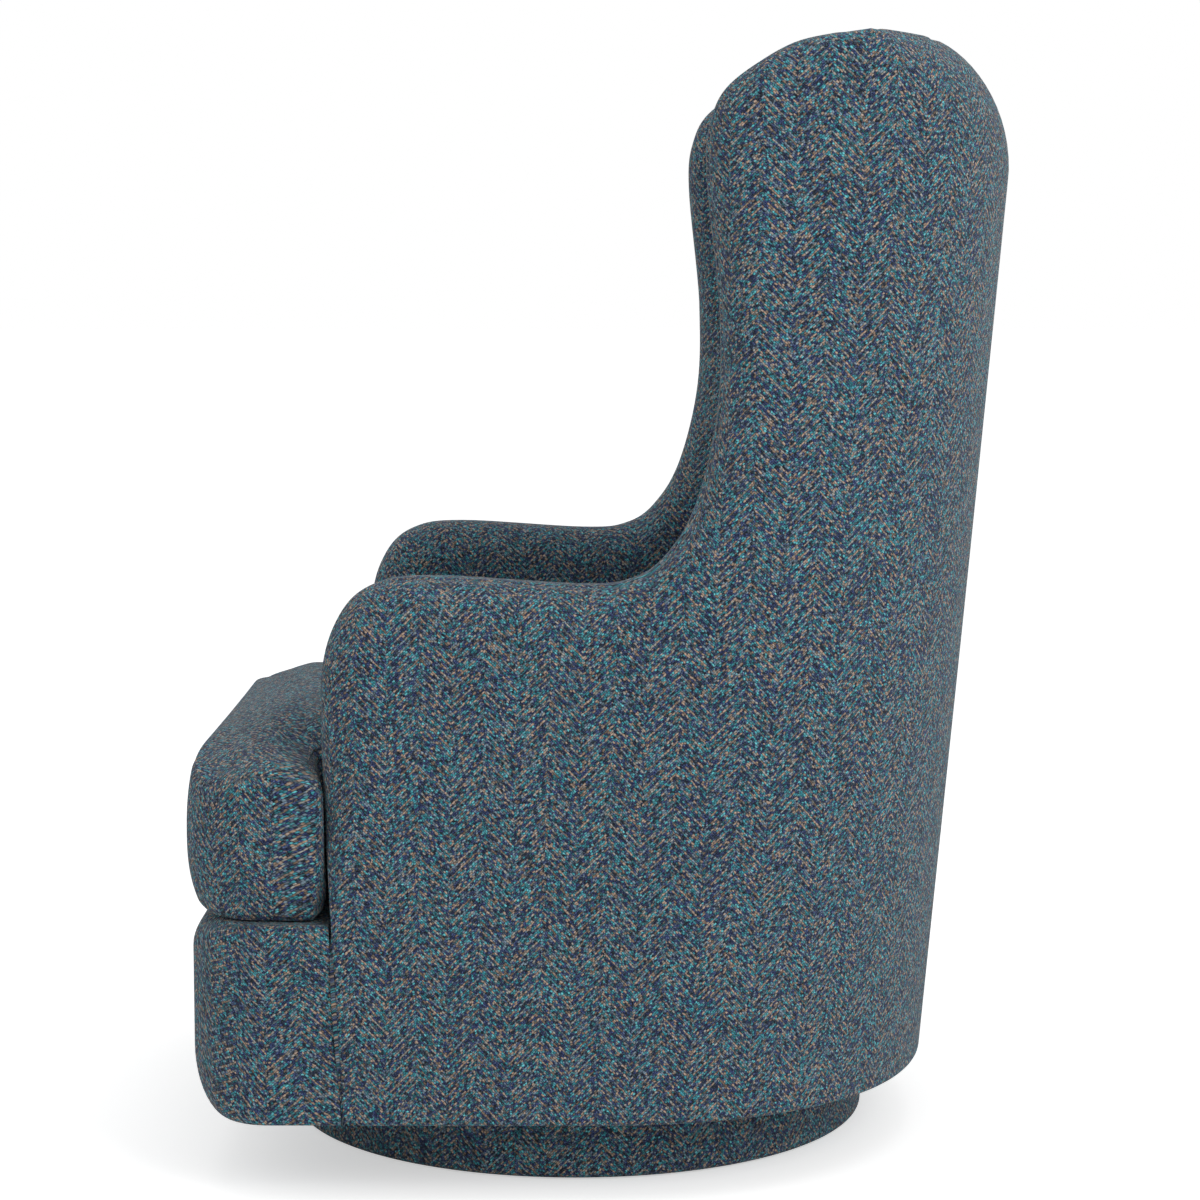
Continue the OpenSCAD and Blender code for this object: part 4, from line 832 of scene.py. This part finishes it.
def plinth_wrap():
    """A ring of equal loops: down the wall, round the lower edge by a quarter circle, in
    under the hoop, and back with the cloth's thickness."""
    a = np.linspace(0, math.pi / 2, PLINTH_ROLL_ROWS + 1)
    centre, low = PLINTH_R - PLINTH_EDGE, PLINTH_FOOT + PLINTH_EDGE
    wall_z, inner_edge = np.linspace(PLINTH_H, low, PLINTH_WALL_ROWS), PLINTH_EDGE - PLINTH_CLOTH
    r = np.hstack([np.full(PLINTH_WALL_ROWS, PLINTH_R), centre + PLINTH_EDGE * np.cos(a)[1:],
                   HOOP_IN, HOOP_IN, centre + inner_edge * np.cos(a)[::-1],
                   PLINTH_R - PLINTH_CLOTH])
    z = np.hstack([wall_z, low - PLINTH_EDGE * np.sin(a)[1:], PLINTH_FOOT,
                   PLINTH_FOOT + PLINTH_CLOTH, low - inner_edge * np.sin(a)[::-1], PLINTH_H])
    phi = np.linspace(0, 2 * math.pi, PLINTH_COLS + 1)[:-1, None]
    points = stacked(r * np.cos(phi), AXIS_Y + r * np.sin(phi), z)
    return points, stacked(phi * PLINTH_R, -run_along(stacked(r, z)))


plinth_points, plinth_cloth = plinth_wrap()
plinth_cloth = np.vstack([plinth_cloth, plinth_cloth[:1] + (2 * math.pi * PLINTH_R, 0)])
plinth = cloth_mesh("plinth_cloth_wrap", plinth_points, plinth_cloth, tweed, ring=True)
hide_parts("plinth_cover")
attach(plinth, "base")


# Timber of the frame and plinth: sawn birch plywood panels and hoops, and planed beech
# rails, glued and screwed. Unfinished, it shows pale bands of grain along each part, and
# plywood shows its thin glued plies across the thickness.
PLY, GRAIN = 0.0015, 0.004


def sawn_timber(name, light, dark, stretch, ply_axis=None):
    """Bands of distorted rings stretched along the grain, fine pores, and where ply_axis is
    given, stripes across that axis that show most on the panel's edges."""
    material, node = new_material(name)
    place_at = node("TexCoord").outputs["Object"]
    pulled = node("Mapping", place_at, i3=stretch)
    ring_noise = node("TexNoise", Vector=pulled, Scale=0.25 / GRAIN, Detail=4.0, Distortion=1.2)
    pores = node("TexNoise", Vector=pulled, Scale=2.0 / GRAIN, Detail=2.0)
    rings = node("Math MULTIPLY", ring_noise, 6.0)
    bands = node("Math PINGPONG", rings, 1.0)
    mixed = node("Mix", bands, i6=linear(light), i7=linear(dark), data_type="RGBA")
    dull = node("MapRange", pores, 0.35, 0.65, 0.86, 1.06)
    if ply_axis is not None:
        depth = node("SeparateXYZ", place_at).outputs[ply_axis]
        plies = node("Math PINGPONG", node("Math DIVIDE", depth, PLY), 1.0)
        dull = node("Math MULTIPLY", dull, node("MapRange", plies, 0.35, 0.65, 0.84, 1.0))
    tone = node("Mix", 1.0, i6=mixed.outputs[2], i7=dull, data_type="RGBA", blend_type="MULTIPLY")
    bump = node("Bump", Strength=0.35, Distance=0.0004, Height=pores)
    shader = node("BsdfPrincipled", Base_Color=tone.outputs[2], Roughness=0.72, Normal=bump)
    node("OutputMaterial", shader)
    return material


def finish(material, *nodes):
    """Gives carried-over CAD nodes a better material in all of their slots."""
    for node in nodes:
        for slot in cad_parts[node].material_slots:
            slot.material = material


ply_upright = sawn_timber("sawn_birch_plywood_upright", "#d9bd8f", "#c4a271", (1, 1, 0.08), 0)
ply_flat = sawn_timber("sawn_birch_plywood_flat", "#d9bd8f", "#c4a271", (1, 0.08, 1), 2)
beech_long = sawn_timber("planed_beech_long", "#cfa57a", "#b98a5e", (1, 0.08, 1))
beech_across = sawn_timber("planed_beech_across", "#cfa57a", "#b98a5e", (0.08, 1, 1))
beech_upright = sawn_timber("planed_beech_upright", "#cfa57a", "#b98a5e", (1, 1, 0.08))
finish(ply_upright, "arm_panel_left", "arm_panel_right", "wing_panel_left", "wing_panel_right")
finish(ply_flat, "plinth_hoop", "plinth_top_board", "foot_rib", "seat_rib", "waist_rib",
       "shoulder_rib", "top_rib")
finish(beech_long, "seat_side_rail_left", "seat_side_rail_right")
finish(beech_across, "cross_bearers", "front_rail_board", "rear_seat_rail")
finish(beech_upright, "corner_blocks", "back_slats")


# Steel of the swivel and springs: pressed plates, balls, pin and screws with a bright zinc
# coat that shows faint crystals, and oil-hardened spring wire, darker and smoother.
def coated_steel(name, code, roughness, spangle):
    """Metal whose colour and roughness vary by small cells, the crystals of its coat."""
    material, node = new_material(name)
    place_at = node("TexCoord").outputs["Object"]
    cells = node("TexVoronoi", Vector=place_at, Scale=1 / spangle).outputs["Color"]
    scuff = node("TexNoise", Vector=place_at, Scale=2.5 / spangle, Detail=4.0)
    crystal = node("Math MULTIPLY", node("SeparateXYZ", cells), scuff)
    tone = node("MapRange", crystal, 0.0, 0.6, 0.82, 1.08)
    colour = node("Mix", 1.0, i6=linear(code), i7=tone, data_type="RGBA", blend_type="MULTIPLY")
    rough = node("MapRange", scuff, 0.3, 0.7, roughness - 0.08, roughness + 0.10)
    bump = node("Bump", Strength=0.2, Distance=0.0002, Height=scuff)
    shader = node("BsdfPrincipled", Base_Color=colour.outputs[2], Metallic=1.0, Roughness=rough,
                  Normal=bump)
    node("OutputMaterial", shader)
    return material


zinc = coated_steel("zinc_plated_pressed_steel", "#b6babd", 0.38, 0.006)
ball_steel = coated_steel("ground_bearing_steel", "#c4c6c8", 0.16, 0.003)
wire_steel = coated_steel("oil_hardened_spring_wire", "#6f7072", 0.34, 0.004)
finish(zinc, "swivel_lower_plate", "swivel_upper_plate", "centre_pin", "lower_plate_screws",
       "upper_plate_screws", "spring_clips")
finish(ball_steel, "bearing_balls")
finish(wire_steel, "seat_springs", "back_springs")


# Black plastic: moulded polypropylene glides and ball cage with a fine spark-eroded grain,
# and the cushion's nylon coil zip, whose teeth are 1.5 mm apart.
def moulded_black(name, roughness, grain, teeth=None):
    """Near-black plastic with a fine grain, and for the zip, ridges along its length."""
    material, node = new_material(name)
    place_at = node("TexCoord").outputs["Object"]
    fine = node("TexNoise", Vector=place_at, Scale=1 / grain, Detail=3.0)
    colour = node("Mix", fine, i6=linear("#131415"), i7=linear("#26282a"), data_type="RGBA")
    height = fine
    if teeth:
        along = node("Math DIVIDE", node("SeparateXYZ", place_at), teeth / 2)
        height = node("Math PINGPONG", along, 1.0)
    rough = node("MapRange", fine, 0.0, 1.0, roughness - 0.08, roughness + 0.08)
    bump = node("Bump", Strength=0.3, Distance=0.0003, Height=height)
    shader = node("BsdfPrincipled", Base_Color=colour.outputs[2], Roughness=rough, Normal=bump)
    node("OutputMaterial", shader)
    return material


finish(moulded_black("moulded_black_polypropylene", 0.45, 0.0008), "base_glides", "ball_cage")
finish(moulded_black("black_nylon_coil_zip", 0.40, 0.0006, 0.0015), "cushion_zip")


# Non-woven black lining cloth: spun and pressed polypropylene fibre, dull, with a grid of
# tiny pressed points. It covers the padded deck under the cushion and closes the underside.
POINTS, FIBRE = 0.0022, 1 / 1200


def lining_cloth():
    """Dark felt with short fibres and a grid of pressed points, on Object coordinates."""
    material, node = new_material("spunbonded_black_lining")
    place_at = node("TexCoord").outputs["Object"]
    fibres = node("TexNoise", Vector=place_at, Scale=1 / FIBRE, Detail=3.0)
    split = node("SeparateXYZ", place_at)
    dots = []
    for k in (0, 1):
        across = node("Math DIVIDE", split.outputs[k], POINTS / 2)
        dots.append(node("Math PINGPONG", across, 1.0))
    pressed = node("Math GREATER_THAN", node("Math MULTIPLY", *dots), 0.45)
    tone = node("Math SUBTRACT", fibres, node("Math MULTIPLY", pressed, 0.25))
    colour = node("Mix", tone, i6=linear("#17181a"), i7=linear("#36383b"), data_type="RGBA")
    bump = node("Bump", Strength=0.5, Distance=0.0003, Height=tone)
    shader = node("BsdfPrincipled", Base_Color=colour.outputs[2], Roughness=0.9, Normal=bump,
                  Specular_IOR_Level=0.2)
    node("OutputMaterial", shader)
    return material


lining = lining_cloth()


# Seat deck: a thin foam pad in lining cloth, stretched over the springs between the rails
# under the cushion, sewn to a slack crown that the cushion presses.
DECK_TOP, DECK_T, DECK_FRONT, DECK_SPACE = 0.2817, 0.030, -0.270, 0.004
DECK_CENTRE, DECK_EDGE, DECK_DOME = (0.0, -0.075), 0.010, 0.004
DECK_WALL_CUTS, DECK_SIDE_CUTS, DECK_FRONT_CUTS = 69, 24, 23
PLATE_UNDER, PLATE_EDGE, PLATE_TOP, DOME_SHAPE, RIM_IN = 6, 13, 14, 2.5, 0.999


def padded_plate(outline, centre, low, high, edge, dome):
    """Rows from the underside's middle to its rim, round the edge by a half ellipse, and in
    over the top, which is lower at the rim than in the middle by the dome."""
    inwards, rim_high = inwards_of(outline, 1), high - dome
    rim = outline + edge * inwards
    rows = [at_height(mix(centre, rim, k), low)
            for k in np.linspace(MIDDLE_OUT, RIM_IN, PLATE_UNDER)]
    rows += [at_height(outline + edge * (1 - math.cos(a)) * inwards,
                       mix(low, rim_high, 0.5 + 0.5 * math.sin(a)))
             for a in np.linspace(-math.pi / 2, math.pi / 2, PLATE_EDGE)]
    rows += [at_height(mix(centre, rim, k), rim_high + dome * (1 - k ** DOME_SHAPE))
             for k in np.linspace(RIM_IN, MIDDLE_OUT, PLATE_TOP)]
    return np.array(rows)


def both_sides(half):
    """A closed outline from its half on the +X side, front to rear."""
    return np.vstack([half, half[::-1] * (-1, 1)])


deck_s = np.linspace(0, TURN_LEN, DECK_WALL_CUTS + 1)[:-1]
deck_wall = placed(deck_s, PAD_FOOT_Z, in_r(deck_s, PAD_FOOT_Z) - DECK_SPACE)[:, :2]
deck_x, deck_y = deck_wall[0]
deck_side = stacked(deck_x, np.linspace(DECK_FRONT, deck_y, DECK_SIDE_CUTS + 1)[:-1])
deck_front = stacked(np.linspace(0, deck_x, DECK_FRONT_CUTS + 1)[1:-1], DECK_FRONT)
deck_rows = padded_plate(both_sides(np.vstack([deck_front, deck_side, deck_wall])), DECK_CENTRE,
                         DECK_TOP - DECK_T, DECK_TOP, DECK_EDGE, DECK_DOME)
deck = cloth_mesh("padded_seat_deck", deck_rows, deck_rows[..., :2], lining)
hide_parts("seat_deck")
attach(deck, "chair")


# Cushion core: a block of open-cell foam cut to the cushion's shape with rounded corners.
# Its cut face shows fine even cells.
CORE_LOW, CORE_HIGH, CORE_WRAP, CORE_EDGE, CORE_DOME = 0.302, 0.410, 0.024, 0.008, 0.006
CELL, AGED = 1 / 700, 1 / 12


def cut_foam():
    """Warm cream foam: cells by a fine Voronoi pattern with painted shade in their hollows,
    slightly yellower by broad noise.
    """
    material, node = new_material("open_cell_upholstery_foam")
    place_at = node("TexCoord").outputs["Object"]
    cells = node("TexVoronoi", Vector=place_at, Scale=1 / CELL).outputs["Distance"]
    aged = node("TexNoise", Vector=place_at, Scale=1 / AGED, Detail=2.0)
    colour = node("Mix", aged, i6=linear("#eadfb4"), i7=linear("#dcc98e"), data_type="RGBA")
    # Painted shade: each cell is darkened towards its middle, its hollow.
    shade = node("MapRange", cells, 0.0, 0.6, 0.72, 1.05)
    tone = node("Mix", 1.0, i6=colour.outputs[2], i7=shade, data_type="RGBA", blend_type="MULTIPLY")
    bump = node("Bump", Strength=0.6, Distance=0.0005, Height=cells)
    shader = node("BsdfPrincipled", Base_Color=tone.outputs[2], Roughness=0.95, Normal=bump)
    node("OutputMaterial", shader)
    return material


core_rows = padded_plate(cushion_outline(CORE_WRAP)[0], pivot, CORE_LOW, CORE_HIGH, CORE_EDGE,
                         CORE_DOME)
core = cloth_mesh("cushion_foam_core", core_rows, core_rows[..., :2], cut_foam())
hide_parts("cushion_core")
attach(core, "cushion")


# Dust cover: one sheet of the lining, cut to the frame's outline with a hole for the swivel.
# It is stretched and stapled flat under the rails, so it has no sag.
DUST_LOW, DUST_T, DUST_HOLE, DUST_SPACE, DUST_START_X = 0.0766, 0.0008, 0.165, 0.0025, 0.004
DUST_FRONT = np.array([(0.331, -0.3800), (0.331, -0.2600), (0.3685, -0.2600)])
DUST_WALL_CUTS, DUST_FRONT_POINTS, DUST_ROWS = 89, 60, 7


def dust_outline():
    """The cut's outline: straight front and front corners, then inside the cover's wall."""
    side_s = np.linspace(0, TURN_LEN, DUST_WALL_CUTS + 1)[:-1]
    wall = placed(side_s, SKIRT_Z, out_r(side_s, SKIRT_Z) - SKIN_T - DUST_SPACE)[:, :2]
    corners = np.vstack([(DUST_START_X, DUST_FRONT[0, 1]), DUST_FRONT, wall[:1]])
    run = run_along(corners)
    at = np.unique(np.hstack([np.linspace(0, run[-1], DUST_FRONT_POINTS), run]))[:-1]
    return both_sides(np.vstack([read_off(at, run, corners), wall]))


dust_edge = dust_outline()
dust_axis = np.array([0.0, AXIS_Y])
dust_hole = dust_axis + DUST_HOLE * unit(dust_edge - dust_axis)
across = np.linspace(0, 1, DUST_ROWS)[None, :, None]
under = at_height(mix(dust_hole[:, None], dust_edge[:, None], across), DUST_LOW)
dust_rows = np.hstack([under, under[:, ::-1] + (0, 0, DUST_T)])
dust_cloth = np.vstack([dust_rows, dust_rows[:1]])[..., :2]
dust = cloth_mesh("stapled_dust_cover", dust_rows, dust_cloth, lining, ring=True)
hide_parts("dust_cover")
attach(dust, "chair")


# Plain soft studio: a white floor that runs out of view, white air behind it, a large soft
# key from the rear above, and weaker fill from all round.
CAMERA_AT, CAMERA_PITCH, CAMERA_FOCUS = (3.2755, -0.0085, 0.9134), 0.109766, 3038.8
IMAGE_SIZE, SENSOR, FLOOR_HALF = 1200, 36.0, 40
FLOOR_LIFT, FLOOR_WHITE, AIR_LIGHT = 0.5, (0.92, 0.92, 0.92, 1), 0.62

floor_mesh = bpy.data.meshes.new("studio_floor")
floor_corners = FLOOR_HALF * np.array([(-1, -1, 0), (1, -1, 0), (1, 1, 0), (-1, 1, 0)])
floor_mesh.from_pydata(floor_corners.tolist(), [], [(0, 1, 2, 3)])
floor = put("studio_floor", floor_mesh)
floor_paint, node = new_material("matt_white_studio_paint")
floor_seen = node("LightPath").outputs["Is Camera Ray"]
floor_glow = node("Emission", i1=node("Math MULTIPLY", floor_seen, FLOOR_LIFT))
floor_face = node("BsdfDiffuse", FLOOR_WHITE)
node("OutputMaterial", node("AddShader", floor_face, floor_glow))
floor_mesh.materials.append(floor_paint)

world = bpy.data.worlds.new("studio_air")
world.use_nodes = True
bpy.context.scene.world = world
world.node_tree.nodes.clear()
node = functools.partial(add, world.node_tree)
rays = node("LightPath").outputs
mirrored_rays = node("Math MAXIMUM", rays["Is Glossy Ray"], rays["Is Transmission Ray"])
seen = node("Math MAXIMUM", rays["Is Camera Ray"], mirrored_rays)
strength = node("MapRange", seen, 0.0, 1.0, AIR_LIGHT, 1.0)
node("OutputWorld", node("Background", (1, 1, 1, 1), strength))


def soft_box(name, place_at, aim, size, watts):
    """A square area lamp at a place, turned towards a point."""
    lamp = bpy.data.lights.new(name, "AREA")
    lamp.size, lamp.energy = size, watts
    box = put(name, lamp)
    box.location = place_at
    box.rotation_euler = (Vector(aim) - Vector(place_at)).to_track_quat("-Z", "Y").to_euler()


soft_box("key_box", (2.7, 2.2, 2.5), (0, 0.1, 0.5), 2.0, 44)
soft_box("top_box", (0.3, 0.0, 3.4), (0, 0, 0.4), 2.4, 15)

camera = bpy.data.cameras.new("photo_camera")
camera.sensor_width = SENSOR
camera.lens = CAMERA_FOCUS / IMAGE_SIZE * SENSOR
viewer = put("photo_camera", camera)
viewer.location = CAMERA_AT
viewer.rotation_euler = (math.pi / 2 - CAMERA_PITCH, 0, math.pi / 2)
bpy.context.scene.camera = viewer
bpy.context.scene.view_settings.view_transform = "Standard"
